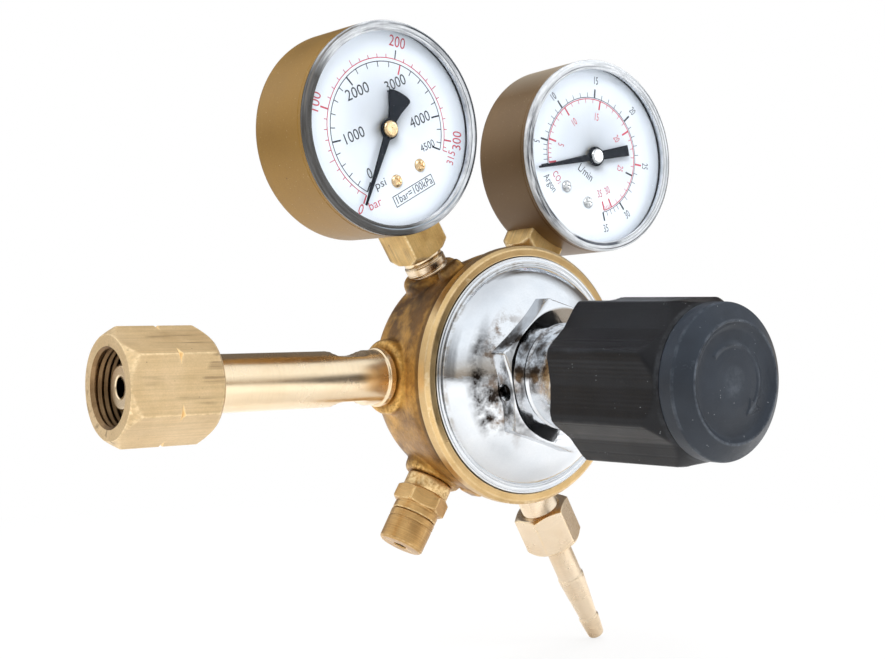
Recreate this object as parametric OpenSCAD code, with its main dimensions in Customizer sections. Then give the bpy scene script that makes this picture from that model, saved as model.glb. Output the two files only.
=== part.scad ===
// Cylinder pressure regulator with two gauges.
// Origin: centre of the inlet nipple's sealing face, on the inlet axis.
// +X runs along the inlet into the body, -Y is the front (knob side), +Z is up.

/* [Inlet] */
// Length of the inlet stem from its sealing face to the body's boss
stem_len = 85.4; // [72:0.1:120]
// Radius of the inlet stem
stem_r = 8.3; // [7.6:0.1:10]
// Radius of the nipple that seals on the cylinder valve
nipple_r = 6.3; // [5:0.1:7]
// Radius of the gas bore through the stem
gas_bore_r = 2.8; // [1.5:0.1:3.4]
// Radius of the stem's retaining flange inside the nut
flange_r = 9.7; // [9.2:0.1:10]
// Distance from the sealing face to the flange's rear face
flange_rear = 19.1; // [16:0.1:22]
// Spanner width across the stem's two flats
stem_flats = 13.3; // [11:0.1:15]
// Distance from the sealing face to the middle of the spanner flats
flats_mid = 72.0; // [60:0.1:75]
// Length of the spanner flats at full depth
flats_len = 7.0; // [4:0.5:12]
// Width across flats of the inlet nut
nut_af = 28.7; // [27:0.1:34]
// Length of the inlet nut
nut_len = 28.2; // [25:0.1:34]
// How far the nut's mouth stands in front of the sealing face
nut_lead = 3.6; // [1:0.1:4]
// Minor radius of the nut's thread
nut_thread_r = 10.25; // [10.1:0.05:12]
// Length of the nut's thread from the end of its mouth chamfer
nut_thread_len = 13; // [8:0.1:13]
// Angle that the nut is turned on the stem
nut_turn = 56.4; // [0:0.1:60]

/* [Body] */
// How far inside the ring's radius the face of the inlet boss lies
boss_inset = 0.9; // [-9:0.1:2]
// Radius of the inlet boss
boss_r = 11.5; // [10.5:0.1:12.5]
// Outer radius of the body's machined ring
ring_r = 39.8; // [39:0.1:44]
// Distance from the port plane to the ring's front face
ring_front = 23.9; // [22:0.1:28]
// Depth of the ring's machined band
ring_band = 4.2; // [2:0.1:6]
// Distance from the port plane to the body's rear face
body_rear = 16; // [14.5:0.1:20]
// Radius of the low-pressure chamber behind the diaphragm
chamber_r = 30; // [26:0.1:31]
// Distance from the port plane to that chamber's floor
chamber_floor = 8.2; // [7.6:0.1:9]

/* [Ports] */
// Angle of the contents gauge port, seen from the front
contents_angle = 121.9; // [115:0.1:128]
// Angle of the flow gauge port
flow_angle = 61.1; // [54:0.1:66]
// Angle of the relief valve port
relief_angle = 238; // [232:0.1:244]
// Angle of the outlet port
outlet_angle = 299; // [294:0.1:306]
// How far inside the ring's radius the tops of the gauge and relief bosses lie
port_inset = 1.2; // [0:0.1:1.8]
// Depth of the threads in the ports
port_thread_len = 12.6; // [11:0.1:13]
// Radius of those bosses
port_boss_r = 9.2; // [8.6:0.1:10]
// Outer radius of the gauge and outlet threads
port_thread_r = 6.58; // [6:0.01:7]

/* [Bonnet] */
// Outer radius of the bonnet's rim
bonnet_r = 36.4; // [35.8:0.1:38]
// Height of the bonnet's hexagon above the ring's face
hex_base = 8.1; // [6:0.1:10]
// Width across flats of the bonnet's hexagon
bonnet_af = 41.4; // [38:0.1:43]
// Height of the hexagon
hex_height = 8; // [6.5:0.1:10]
// Angle that the hexagon is turned
hex_turn = 41.7; // [0:0.1:60]
// Outer radius of the bonnet's neck
neck_r = 15.3; // [14.8:0.1:16.5]
// Length of the neck from the hexagon's face
neck_len = 26; // [24:0.1:30]
// Radius of the range spring's chamber
spring_chamber_r = 12.4; // [11.8:0.1:13]
// Radius of the vent hole in the hexagon
vent_r = 2.4; // [1:0.1:2.8]

/* [Knob] */
// Radius to the corners of the knob's grips
knob_r = 24.6; // [22.6:0.1:26]
// Radius to the bottom of the knob's flutes
flute_r = 21.9; // [20:0.1:22.4]
// Angle of the knob at rest
knob_rest = 3.5; // [0:0.1:45]
// Length of the knob without its cap
knob_len = 40.2; // [38:0.1:48]
// Gap between the hexagon and the knob when it is screwed right out
knob_gap = 17.5; // [14:0.1:18.5]
// Radius of the knob's cap
cap_r = 21.3; // [20:0.1:22]
// Length of the knob's cap
cap_len = 8.2; // [6.6:0.1:9]
// Travel of the adjusting screw
screw_travel = 12; // [8:0.5:13]
// Radius of the adjusting screw
screw_r = 5; // [4:0.1:6]

/* [Gauges] */
// Outer radius of the gauge cases
case_r = 31.4; // [29:0.1:33]
// Wall of the gauge cases
case_wall = 1; // [0.8:0.1:1.4]
// Distance from the port plane to the rear of the cases
case_rear = 8.1; // [7.9:0.1:10]
// How much deeper the contents gauge's case is at the rear
contents_deeper = 1.6; // [0:0.1:3]
// Distance from the port plane to the front edge of the cases
case_front = 15.9; // [15.5:0.1:18]
// Thickness of the lens rim in front of the case
lens_rim = 1.6; // [1.2:0.1:2.5]
// Distance from the boss's top to the contents gauge's centre
contents_rise = 47.5; // [45.5:0.1:54]
// Distance from the boss's top to the flow gauge's centre
flow_rise = 41.4; // [39.4:0.1:46]
// Distance from the boss's top to the contents gauge's square block
contents_gap = 5.6; // [4.6:0.1:9.4]
// Distance from the boss's top to the flow gauge's square block
flow_gap = 5.3; // [4.4:0.1:7.4]
// Turn of the contents gauge about its own stem
contents_yaw = 0; // [-5:0.1:5]
// Turn of the flow gauge about its own stem
flow_yaw = -2.7; // [-5:0.1:5]
// Width of the gauge blocks across flats
block_af = 14; // [12:0.1:14.4]
// Angle of the contents gauge's pointer at zero, in the gauge's own frame
contents_zero = 217.5; // [210:0.1:230]
// Angle of the flow gauge's pointer at zero
flow_zero = 220; // [210:0.1:230]
// Angle that the contents gauge's pointer sweeps at full scale
contents_sweep = 262; // [200:1:276]
// Angle that the flow gauge's pointer sweeps at full scale
flow_sweep = 270; // [200:1:276]
// Distance from the case's outside to the tip of the pointer
pointer_inset = 7.4; // [5.6:0.1:12]

/* [Movement] */
// Pitch radius of the pinion
pinion_r = 2; // [1.6:0.1:2.2]
// Teeth of the pinion
pinion_teeth = 10; // [10:2:12]
// Ratio of the sector gear to the pinion
gear_ratio = 6; // [6:1:6]
// Distance between the movement's plates
plate_gap = 8; // [7:0.1:9]
// Radius of the Bourdon tube's middle line
tube_r = 22; // [20:0.1:23]

/* [Relief valve] */
// Radius of the relief valve's neck
relief_neck_r = 7.2; // [6.8:0.1:7.4]
// Width across flats of its hexagon
relief_af = 15; // [14.8:0.1:17]
// Radius of its cap
relief_cap_r = 7; // [6.6:0.1:7.3]
// Length of its cap
relief_cap_len = 10.1; // [9.6:0.1:14]
// Radius of the hole in the cap
relief_hole_r = 2.05; // [1:0.05:2.5]

/* [Outlet] */
// Width across flats of the outlet nut
outlet_af = 17; // [16.4:0.1:19]
// Length of the outlet nut
outlet_nut_len = 14.2; // [13.5:0.1:18]
// Distance from the outlet boss's top to the outlet nut
outlet_gap = 13.3; // [11.4:0.1:15.4]
// Radius of the hose tail
tail_r = 4.2; // [3.6:0.1:4.3]
// Length of the hose tail beyond the nut
tail_len = 38; // [30:0.1:45]
// Radius of the hose tail's bore
tail_bore_r = 1.7; // [1:0.1:1.9]

/* [Hidden] */
$fn = 64;

// Fits
thread_fit = 0.06;    // radial clearance of screwed parts
run_fit = 0.05;       // radial clearance of shafts in their bores
seat_fit = 0.03;      // axial clearance of faces that are screwed up
face_gap = 0.3;       // clearance of faces that move past each other
eps = 0.01;           // overlap that keeps cuts clean

// Body
body_x = stem_len + ring_r - boss_inset;
port_top = ring_r - port_inset;
front = -ring_front;
bonnet_bore = bonnet_r + 0.1;
seat_y = -13.6;                       // where the diaphragm rests on the body
diaphragm_t = 0.8;
slip_t = 0.6;
bonnet_back = seat_y - diaphragm_t - slip_t - 3 * seat_fit;
valve_chamber_r = 4.3;
nozzle_r = 6.5;
port_depth = port_top - port_thread_len;   // distance from the axis to the bottom of the ports
passage = chamber_r - 2.4;            // distance from the axis to the low-pressure passages
contents_reach = port_top + contents_rise;
flow_reach = port_top + flow_rise;
outlet_nut_start = port_top + outlet_gap;
relief_port_r = 4.8;
relief_hex = port_top + 4.7;          // where the relief valve's hexagon begins
relief_joint = relief_hex + 7.9;      // where its cap begins
relief_floor = relief_hex + 2.7;      // where its poppet rests

// Bonnet and knob
hex_front = front - hex_base - hex_height;
neck_front = hex_front - neck_len;
neck_wall = 8;                        // length of the neck's threaded end
knob_rear = hex_front - knob_gap;
knob_front = knob_rear - knob_len;
knob_floor = neck_front - screw_travel - 1;
cap_front = knob_front - cap_len;
plate_y = seat_y - diaphragm_t - seat_fit;   // front face of the diaphragm
plate_t = 2;
button_y = neck_front + neck_wall + 1.2;     // front face of the spring button's flange
button_t = 2.5;
spring_wire = 2.6;
spring_r = spring_chamber_r - 0.5 - spring_wire / 2;

// Valve
nozzle_front = -11.2;
nozzle_rear = -4;
valve_gap = 0.1;
poppet_rear = 0.6;
valve_spring_end = 10.9;
pin_r = 0.8;

// Gauges
hex_corner = 1 / cos(30);
lens_front = -case_front - lens_rim;
dial_y = -13.7;                       // front face of the dial
dial_t = 0.5;
frame_front = dial_y + dial_t + seat_fit;
plate_thick = 1;
gear_y = frame_front + plate_thick + 4.5;
gear_t = 1.4;
sector_r = pinion_r * gear_ratio;
sector_drop = sector_r + pinion_r;
tooth_depth = 0.5;
arbor_r = 0.7;
tail_pin = 4.5;                       // distance from the sector's pivot to the link's pin
pillar_x = 8.4;
link_reach = tube_r - 2.2;            // distance from the centre to the tube's pin
screw_z = -14.4;
screw_x = 5.1;
tube_start = 258;
tube_end = -22;
plate_drop = 19.6;                    // distance from the arbor to the plates' lower edge
block_drop = plate_drop + 3.4;        // distance from the arbor to the block's top
pointer_len = case_r - pointer_inset;

module at_port(angle) {
    translate([body_x, 0, 0])
        rotate([0, 90 - angle, 0])
            children();
}

module at_gauge(angle, reach, yaw) {
    at_port(angle)
        rotate([0, 0, yaw])
            translate([0, 0, reach])
                children();
}

module at_contents() {
    at_gauge(contents_angle, contents_reach, contents_yaw)
        children();
}

module at_flow() {
    at_gauge(flow_angle, flow_reach, flow_yaw)
        children();
}

// Turns a profile of [radius, y] points about the Y axis
module turned_y(points) {
    rotate([-90, 0, 0])
        rotate_extrude($fn = 96)
            polygon(points);
}

// Turns a profile of [radius, x] points about the X axis
module turned_x(points) {
    rotate([90, 0, 90])
        rotate_extrude($fn = 72)
            polygon(points);
}

// Turns a profile of [radius, z] points about the Z axis
module turned_z(points) {
    rotate_extrude($fn = 64)
        polygon(points);
}

module rod_y(r, y0, y1) {
    translate([0, y0, 0])
        rotate([-90, 0, 0])
            cylinder(r = r, h = y1 - y0);
}

module rod_x(r, x0, x1) {
    translate([x0, 0, 0])
        rotate([0, 90, 0])
            cylinder(r = r, h = x1 - x0);
}

module rod_z(r, z0, z1) {
    translate([0, 0, z0])
        cylinder(r = r, h = z1 - z0);
}

// A hexagonal bar along Z with both ends chamfered to a round
module hex_bar(af, z0, z1, chamfer0, chamfer1) {
    corner = af / 2 * hex_corner;
    intersection() {
        translate([0, 0, z0])
            rotate([0, 0, 30])
                cylinder(r = corner, h = z1 - z0, $fn = 6);
        turned_z([
            [0, z0], [corner - chamfer0 * 1.7, z0], [corner + eps, z0 + chamfer0],
            [corner + eps, z1 - chamfer1], [corner - chamfer1 * 1.7, z1], [0, z1]
        ]);
    }
}

// Profile of an external thread drawn as rings, from z0 to z1
function ridge_points(r, z0, z1, pitch, depth) = [
    for (i = [0 : floor((z1 - z0) / pitch) - 1])
        each [
            [r - depth, z0 + i * pitch],
            [r, z0 + (i + 0.35) * pitch],
            [r, z0 + (i + 0.55) * pitch],
            [r - depth, z0 + (i + 0.9) * pitch]
        ]
];

// A compression spring of round wire along Z, with closed ends
function spring_point(r, turns, z0, z1, wire, t) =
    let (
        dead = 1,
        lead = min(t, dead) * wire * 1.04 + max(0, min(t, turns - dead) - dead)
            * (z1 - z0 - wire - 2 * dead * wire * 1.04) / (turns - 2 * dead)
            + max(0, t - turns + dead) * wire * 1.04
    )
    [r * cos(360 * t), r * sin(360 * t), z0 + wire / 2 + lead];

module coil_spring(r, turns, z0, z1, wire) {
    rings_per_turn = 12;
    sides = 6;
    n = turns * rings_per_turn;
    points = [
        for (i = [0 : n])
            let (
                c = spring_point(r, turns, z0, z1, wire, i / rings_per_turn),
                a = 360 * i / rings_per_turn
            )
            for (j = [0 : sides - 1])
                let (b = 360 * j / sides + 90)
                [
                    c[0] + wire / 2 * cos(b) * cos(a),
                    c[1] + wire / 2 * cos(b) * sin(a),
                    c[2] + wire / 2 * sin(b)
                ]
    ];
    faces = [
        [for (j = [0 : sides - 1]) j],
        for (i = [0 : n - 1])
            for (j = [0 : sides - 1])
                let (a = i * sides + j, b = i * sides + (j + 1) % sides)
                each [[a, a + sides, b], [b, a + sides, b + sides]],
        [for (j = [sides - 1 : -1 : 0]) n * sides + j]
    ];
    polyhedron(points = points, faces = faces);
}

module regulator_body() {
    color([0.62, 0.44, 0.22])
        difference() {
            union() {
                translate([body_x, 0, 0])
                    body_shell();
                rod_x(boss_r, stem_len, stem_len + 20);
                for (angle = [contents_angle, flow_angle, relief_angle])
                    at_port(angle)
                        port_boss();
                at_port(outlet_angle)
                    rod_z(port_boss_r, 18, port_top - 1);
                at_port(124)
                    translate([-0.3, -13.2, ring_r - 1])
                        rotate([0, 90, 0])
                            cylinder(r = 2.3, h = 8.4, center = true);
                at_port(244)
                    translate([-3, -12, ring_r - 6.8])
                        cube([7, 7, 12], center = true);
            }
            translate([body_x, 0, 0])
                body_cavity();
            rod_x(port_thread_r + thread_fit, stem_len - 1, stem_len + 13);
            rod_x(gas_bore_r, stem_len, body_x);
            at_port(contents_angle)
                port_hole(port_thread_r);
            at_port(contents_angle)
                rod_z(1.5, 0, port_top);
            for (angle = [flow_angle, outlet_angle])
                at_port(angle)
                    port_hole(port_thread_r);
            at_port(relief_angle)
                port_hole(relief_port_r);
            for (angle = [flow_angle, outlet_angle, relief_angle])
                at_port(angle)
                    low_passage();
        }
}

module body_shell() {
    turned_y([
        [0, front], [ring_r - 1.1, front], [ring_r, front + 1.1], [ring_r, front + ring_band],
        [ring_r - 1.2, front + ring_band + 0.9], [ring_r - 1.2, -13], [ring_r - 3.4, -3],
        [ring_r - 5, body_rear - 7.7], [ring_r - 7.4, body_rear - 3.4],
        [ring_r - 12, body_rear - 1], [ring_r - 18, body_rear], [0, body_rear]
    ]);
}

module port_boss() {
    turned_z([
        [0, 18], [port_boss_r, 18], [port_boss_r, port_top - 1.6], [port_boss_r - 0.5, port_top - 0.5],
        [port_boss_r - 1.6, port_top], [0, port_top]
    ]);
}

module port_hole(r) {
    rod_z(r + thread_fit, port_depth, port_top + 6);
}

// The drilling from the low-pressure chamber to a port
module low_passage() {
    translate([0, -chamber_floor - 1, passage])
        rotate([-90, 0, 0])
            cylinder(r = 1.3, h = chamber_floor + 1);
    rod_z(1.3, min(passage, port_depth), port_depth + 1);
}

module body_cavity() {
    rod_y(bonnet_bore, front - 1, seat_y);
    rod_y(chamber_r, seat_y - 1, -chamber_floor);
    rod_y(nozzle_r + thread_fit, -chamber_floor - 1, nozzle_rear + seat_fit);
    rod_y(valve_chamber_r, nozzle_rear - 1, 11);
}

module bonnet() {
    color([0.82, 0.83, 0.85])
        translate([body_x, 0, 0])
            difference() {
                union() {
                    turned_y([
                        [0, hex_front], [neck_r, hex_front], [neck_r, front - 10.3],
                        [20.6, front - 10.3], [26.8, front - 7.5], [29.4, front - 6],
                        [31.6, front - 4], [33.4, front - 1.5], [33.9, front - 0.3],
                        [34.4, front - 0.3], [34.7, front - 0.7], [bonnet_r - 0.6, front - 0.5],
                        [bonnet_r, front + 0.2], [bonnet_r, bonnet_back], [0, bonnet_back]
                    ]);
                    rotate([90, 0, 0])
                        translate([0, 0, -hex_front - hex_height])
                            bonnet_hex();
                    rod_y(neck_r, neck_front + 1, hex_front + 1);
                    turned_y([
                        [0, neck_front], [neck_r - 1, neck_front], [neck_r, neck_front + 1],
                        [0, neck_front + 1 + eps]
                    ]);
                }
                rod_y(screw_r + run_fit, neck_front - 1, neck_front + neck_wall + 1);
                rod_y(spring_chamber_r, neck_front + neck_wall, bonnet_back + 1);
                turned_y([
                    [0, front - 2], [spring_chamber_r, front - 2], [chamber_r, front + 3.5],
                    [chamber_r, bonnet_back + 1], [0, bonnet_back + 1]
                ]);
                rotate([0, -hex_turn - 150, 0])
                    translate([0, (front - hex_base + hex_front) / 2, 0])
                        rod_x(vent_r, spring_chamber_r - 1, bonnet_af / 2 + 1);
            }
}

module bonnet_hex() {
    corner = bonnet_af / 2 * hex_corner;
    intersection() {
        rotate([0, 0, hex_turn])
            cylinder(r = corner, h = hex_height, $fn = 6);
        turned_z([
            [0, -1], [corner + 1, -1], [corner + 1, hex_height - 2.2],
            [bonnet_af / 2, hex_height], [0, hex_height]
        ]);
    }
}

module slip_ring() {
    color([0.75, 0.72, 0.62])
        translate([body_x, 0, 0])
            difference() {
                rod_y(bonnet_r - 0.2, bonnet_back + seat_fit, bonnet_back + seat_fit + slip_t);
                rod_y(chamber_r, bonnet_back - 1, seat_y);
            }
}

module diaphragm() {
    color([0.12, 0.12, 0.12])
        translate([body_x, 0, 0])
            rod_y(bonnet_r - 0.2, seat_y - seat_fit - diaphragm_t, seat_y - seat_fit);
}

module diaphragm_plate() {
    color([0.7, 0.7, 0.72])
        translate([body_x, 0, 0])
            turned_y([
                [0, plate_y - seat_fit - plate_t - 2.5],
                [spring_r - spring_wire / 2 - 1, plate_y - seat_fit - plate_t - 2.5],
                [spring_r - spring_wire / 2 - 0.3, plate_y - seat_fit - plate_t],
                [spring_r + spring_wire / 2 + 4, plate_y - seat_fit - plate_t],
                [spring_r + spring_wire / 2 + 5, plate_y - seat_fit - plate_t + 1],
                [spring_r + spring_wire / 2 + 5, plate_y - seat_fit],
                [0, plate_y - seat_fit]
            ]);
}

module range_spring() {
    color([0.45, 0.47, 0.5])
        translate([body_x, 0, 0])
            rotate([-90, 0, 0])
                coil_spring(spring_r, 7, button_y + button_t + 0.05,
                    plate_y - seat_fit - plate_t - 0.05, spring_wire);
}

module spring_button() {
    color([0.72, 0.72, 0.74])
        translate([body_x, 0, 0])
            difference() {
                turned_y([
                    [0, button_y], [spring_chamber_r - 0.3, button_y],
                    [spring_chamber_r - 0.3, button_y + button_t],
                    [spring_r - spring_wire / 2 - 0.3, button_y + button_t],
                    [spring_r - spring_wire / 2 - 1, button_y + button_t + 2.5],
                    [0, button_y + button_t + 2.5]
                ]);
                rod_y(screw_r - 1 + run_fit, button_y - 1, button_y + 3);
            }
}

module adjusting_screw() {
    color([0.7, 0.68, 0.6])
        translate([body_x, 0, 0]) {
            rod_y(screw_r, knob_floor - 10, button_y - face_gap);
            rod_y(screw_r - 1, button_y - 1, button_y + 2.6);
            turned_y([
                [0, knob_floor - 14], [7.5, knob_floor - 14], [7.5, knob_floor - 9],
                [0, knob_floor - 9]
            ]);
        }
}

// One quarter of the knob's outline, swept round as four
function grip_quarter(turn) = [
    for (p = [
        [knob_r * cos(24.1), -knob_r * sin(24.1)],
        [knob_r * cos(24.1) + 0.25, -knob_r * sin(24.1) + 2.2],
        [knob_r * cos(24.1) - 0.2, -knob_r * sin(24.1) + 5],
        [knob_r * cos(24.1) - 0.5, 0],
        [knob_r * cos(24.1) - 0.2, knob_r * sin(24.1) - 5],
        [knob_r * cos(24.1) + 0.25, knob_r * sin(24.1) - 2.2],
        [knob_r * cos(24.1), knob_r * sin(24.1)],
        [flute_r * cos(45), flute_r * sin(45)]
    ])
        [p[0] * cos(turn) - p[1] * sin(turn), p[0] * sin(turn) + p[1] * cos(turn)]
];

module knob() {
    color([0.12, 0.13, 0.15])
        translate([body_x, 0, 0])
            difference() {
                union() {
                    intersection() {
                        rotate([90, 0, 0])
                            translate([0, 0, -knob_rear])
                                linear_extrude(height = knob_len)
                                    polygon([for (turn = [0 : 90 : 270]) each grip_quarter(turn + knob_rest)]);
                        turned_y([
                            [0, knob_front + seat_fit], [knob_r - 3.6, knob_front + seat_fit],
                            [knob_r + 1, knob_front + 7.3], [knob_r + 1, knob_rear - 0.8],
                            [knob_r - 0.6, knob_rear], [0, knob_rear]
                        ]);
                    }
                }
                rod_y(neck_r + 0.8, knob_floor, knob_rear + 1);
                rod_y(screw_r + 0.02, knob_floor - 10, knob_floor + 1);
                rod_y(7.5 + run_fit, knob_front - 1, knob_floor - 9);
            }
}

module knob_cap() {
    color([0.15, 0.16, 0.18])
        translate([body_x, 0, 0])
            difference() {
                union() {
                    turned_y([
                        [0, cap_front], [cap_r - 5, cap_front], [cap_r, cap_front + 3.4],
                        [cap_r, knob_front - 0.4], [cap_r - 0.4, knob_front], [0, knob_front]
                    ]);
                    difference() {
                        rod_y(7.5, knob_front - 1, knob_floor - 14.2);
                        rod_y(5.5, knob_front - 2, knob_floor);
                    }
                }
                difference() {
                    rod_y(cap_r - 5.2, cap_front - 1, cap_front + 1.6);
                    turned_y([
                        [0, cap_front + 0.9], [7, cap_front + 1], [13, cap_front + 1.4],
                        [13, cap_front + 3], [0, cap_front + 3]
                    ]);
                }
            }
}

module valve_nozzle() {
    color([0.8, 0.66, 0.36])
        translate([body_x, 0, 0])
            difference() {
                union() {
                    rod_y(nozzle_r, -chamber_floor - 1.5, nozzle_rear);
                    rotate([90, 0, 0])
                        translate([0, 0, chamber_floor + seat_fit])
                            cylinder(r = nozzle_r * hex_corner, h = -nozzle_front - chamber_floor, $fn = 6);
                }
                rod_y(pin_r + 0.6, nozzle_front - 1, nozzle_rear + 1);
            }
}

module valve_poppet() {
    color([0.85, 0.85, 0.83])
        translate([body_x, 0, 0])
            turned_y([
                [0, seat_y + seat_fit], [pin_r, seat_y + seat_fit], [pin_r, nozzle_rear + valve_gap],
                [3.2, nozzle_rear + valve_gap], [3.4, nozzle_rear + valve_gap + 0.3],
                [3.4, poppet_rear], [1.2, poppet_rear], [1.2, poppet_rear + 2],
                [0, poppet_rear + 2]
            ]);
}

module valve_spring() {
    color([0.6, 0.6, 0.62])
        translate([body_x, 0, 0])
            rotate([-90, 0, 0])
                coil_spring(2.4, 7, poppet_rear + 0.05, valve_spring_end, 0.7);
}

module inlet_stem() {
    flat_z = stem_flats / 2;
    mill_r = 3.6;
    color([0.85, 0.68, 0.38])
        difference() {
            turned_x([
                [0, 0], [nipple_r - 0.4, 0], [nipple_r, 0.4],
                [nipple_r, flange_rear - 7], [flange_r, flange_rear - 4.2], [flange_r, flange_rear],
                [stem_r, flange_rear], [stem_r, stem_len - 1.4], [stem_r - 0.7, stem_len - seat_fit],
                [port_thread_r, stem_len - seat_fit], [port_thread_r, stem_len + 12],
                [port_thread_r - 0.8, stem_len + 12.6], [0, stem_len + 12.6]
            ]);
            rod_x(gas_bore_r, -1, stem_len + 14);
            rod_x(4.5, stem_len + 5, stem_len + 14);
            for (side = [0, 180])
                rotate([side, 0, 0])
                    translate([flats_mid, 0, flat_z])
                        rotate([90, 0, 0])
                            linear_extrude(height = 3 * stem_r, center = true) {
                                translate([-flats_len / 2, 0])
                                    square([flats_len, 2 * mill_r]);
                                for (end = [-1, 1])
                                    translate([end * flats_len / 2, mill_r])
                                        circle(r = mill_r);
                            }
        }
}

module inlet_nut() {
    corner = nut_af / 2 * hex_corner;
    mouth = -nut_lead + 1;
    color([0.84, 0.68, 0.42])
        difference() {
            intersection() {
                translate([-nut_lead, 0, 0])
                    rotate([nut_turn, 0, 0])
                        rotate([0, 90, 0])
                            cylinder(r = corner, h = nut_len, $fn = 6);
                turned_x([
                    [0, -nut_lead], [nut_af / 2 - 0.05, -nut_lead], [corner + eps, -nut_lead + 3],
                    [corner + eps, nut_len - nut_lead - 3.2], [corner - 3, nut_len - nut_lead - 0.6],
                    [corner - 3.6, nut_len - nut_lead], [0, nut_len - nut_lead]
                ]);
            }
            turned_x([
                [0, -nut_lead - 1], [nut_thread_r + 0.9, -nut_lead - 1], [nut_thread_r + 0.9, -nut_lead],
                [nut_thread_r, mouth], [0, mouth]
            ]);
            rod_x(nut_thread_r, mouth - 1, mouth + nut_thread_len);
            rod_x(nut_thread_r + 0.6, mouth + nut_thread_len - eps, flange_rear + face_gap);
            rod_x(stem_r + 0.1, flange_rear, nut_len);
            turned_x([
                [corner - 1.1, nut_len / 2 - nut_lead - 1.55], [corner + 1, nut_len / 2 - nut_lead - 2.7],
                [corner + 1, nut_len / 2 - nut_lead - 0.4]
            ]);
        }
}

module inlet_filter() {
    color([0.72, 0.55, 0.32])
        rod_x(4.5 - seat_fit, stem_len + 5 + seat_fit, stem_len + 12.4);
}

module gauge_case(finish, rear) {
    color(finish)
        difference() {
            turned_y([
                [0, rear], [case_r - 2.2, rear], [case_r - 0.7, rear - 0.5],
                [case_r - 0.15, rear - 1.1], [case_r, rear - 2], [case_r, -case_front],
                [case_r - case_wall, -case_front], [case_r - case_wall, rear - 2.6],
                [case_r - 2.2 - case_wall / 2, rear - case_wall], [0, rear - case_wall]
            ]);
            translate([0, 0, -case_r])
                cube([block_af + 0.2, block_af + 0.2, 12], center = true);
        }
}

module gauge_lens() {
    inner = case_r - case_wall - 0.15;
    color([0.86, 0.9, 0.93, 0.35])
        turned_y([
            [0, lens_front + 0.4], [case_r - 4.6, lens_front + 0.4], [case_r - 3.6, lens_front + 0.1],
            [case_r - 2.6, lens_front], [case_r - 0.5, lens_front], [case_r, lens_front + 0.5],
            [case_r, -case_front - seat_fit], [inner, -case_front - seat_fit], [inner, dial_y - 0.9],
            [inner - 1.2, dial_y - 0.9], [inner - 2.2, lens_front + 1.2], [0, lens_front + 1.2]
        ]);
}

module gauge_lens_seal() {
    color([0.2, 0.2, 0.22])
        difference() {
            rod_y(case_r - case_wall - 0.15, dial_y - 0.85, dial_y - seat_fit);
            rod_y(case_r - case_wall - 1.3, dial_y - 2, dial_y + 1);
        }
}

module gauge_dial() {
    color([0.95, 0.96, 0.97])
        difference() {
            rod_y(case_r - case_wall - 0.2, dial_y, dial_y + dial_t);
            rod_y(1.6, dial_y - 1, dial_y + dial_t + 1);
            for (side = [-1, 1])
                translate([side * screw_x, 0, screw_z])
                    rod_y(0.95, dial_y - 1, dial_y + dial_t + 1);
        }
}

module gauge_dial_screws(finish) {
    color(finish)
        for (side = [-1, 1])
            translate([side * screw_x, 0, screw_z])
                difference() {
                    union() {
                        turned_y([
                            [0, dial_y - 0.9], [1.1, dial_y - 0.85], [1.75, dial_y - 0.5],
                            [1.9, dial_y - seat_fit], [0, dial_y - seat_fit]
                        ]);
                        rod_y(0.85, dial_y - 0.2, frame_front + 3);
                    }
                    translate([0, dial_y - 1, 0])
                        rotate([0, 25, 0])
                            cube([5, 1.1, 0.45], center = true);
                }
}

module gauge_socket(reach, block_start) {
    z0 = port_depth + 0.6 - reach;
    zn = block_start - reach;
    zc = -block_drop;
    color([0.83, 0.66, 0.36])
        difference() {
            union() {
                intersection() {
                    translate([-block_af / 2, -block_af / 2, zn])
                        cube([block_af, block_af, zc - zn]);
                    turned_z([
                        [0, zn], [block_af / 2 + 0.8, zn], [block_af / 2 + 3.2, zn + 2.2],
                        [block_af / 2 + 3.2, zc], [0, zc]
                    ]);
                }
                rod_z(port_thread_r - 1.3, z0, zn + 1);
                rod_z(port_thread_r, z0, port_top - reach - 0.6);
                turned_z(concat(
                    [[0, port_top - reach - 0.7]],
                    ridge_points(port_thread_r, port_top - reach - 0.7, zn - 1.1, 1.337, 0.75),
                    [[port_thread_r - 1.3, zn - 1.1], [0, zn - 1.1]]
                ));
                translate([-4.3, frame_front + plate_gap + 2 * plate_thick + seat_fit, zc - 1])
                    cube([9, case_rear - case_wall - 1.2 - frame_front - plate_gap - 2 * plate_thick, 8]);
            }
            rod_z(1, z0 - 1, zc + 2);
        }
}

module bourdon_tube() {
    flat_w = 7;
    flat_t = 2.2;
    mid_y = 0.6;
    link_front = gear_y - 0.8;
    color([0.8, 0.6, 0.3]) {
        difference() {
            rotate([-90, 0, 0])
                rotate([0, 0, -tube_start])
                    rotate_extrude(angle = tube_start - tube_end, $fn = 96)
                        translate([tube_r, mid_y])
                            square([flat_t, flat_w], center = true);
            translate([0, mid_y, 0])
                rotate([-90, 0, 0])
                    rotate([0, 0, -tube_start + 4])
                        rotate_extrude(angle = tube_start - tube_end - 8, $fn = 96)
                            translate([tube_r, 0])
                                square([flat_t - 0.9, flat_w - 1.2], center = true);
        }
        rotate([0, -tube_end, 0]) {
            translate([link_reach - 1.3, link_front + 0.15, -1.4])
                cube([tube_r + 1.3 - link_reach, mid_y + flat_w / 2 - link_front, 2]);
            translate([link_reach, 0, -0.4])
                rod_y(0.5, link_front - 0.8, link_front + 1);
        }
    }
}

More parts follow.
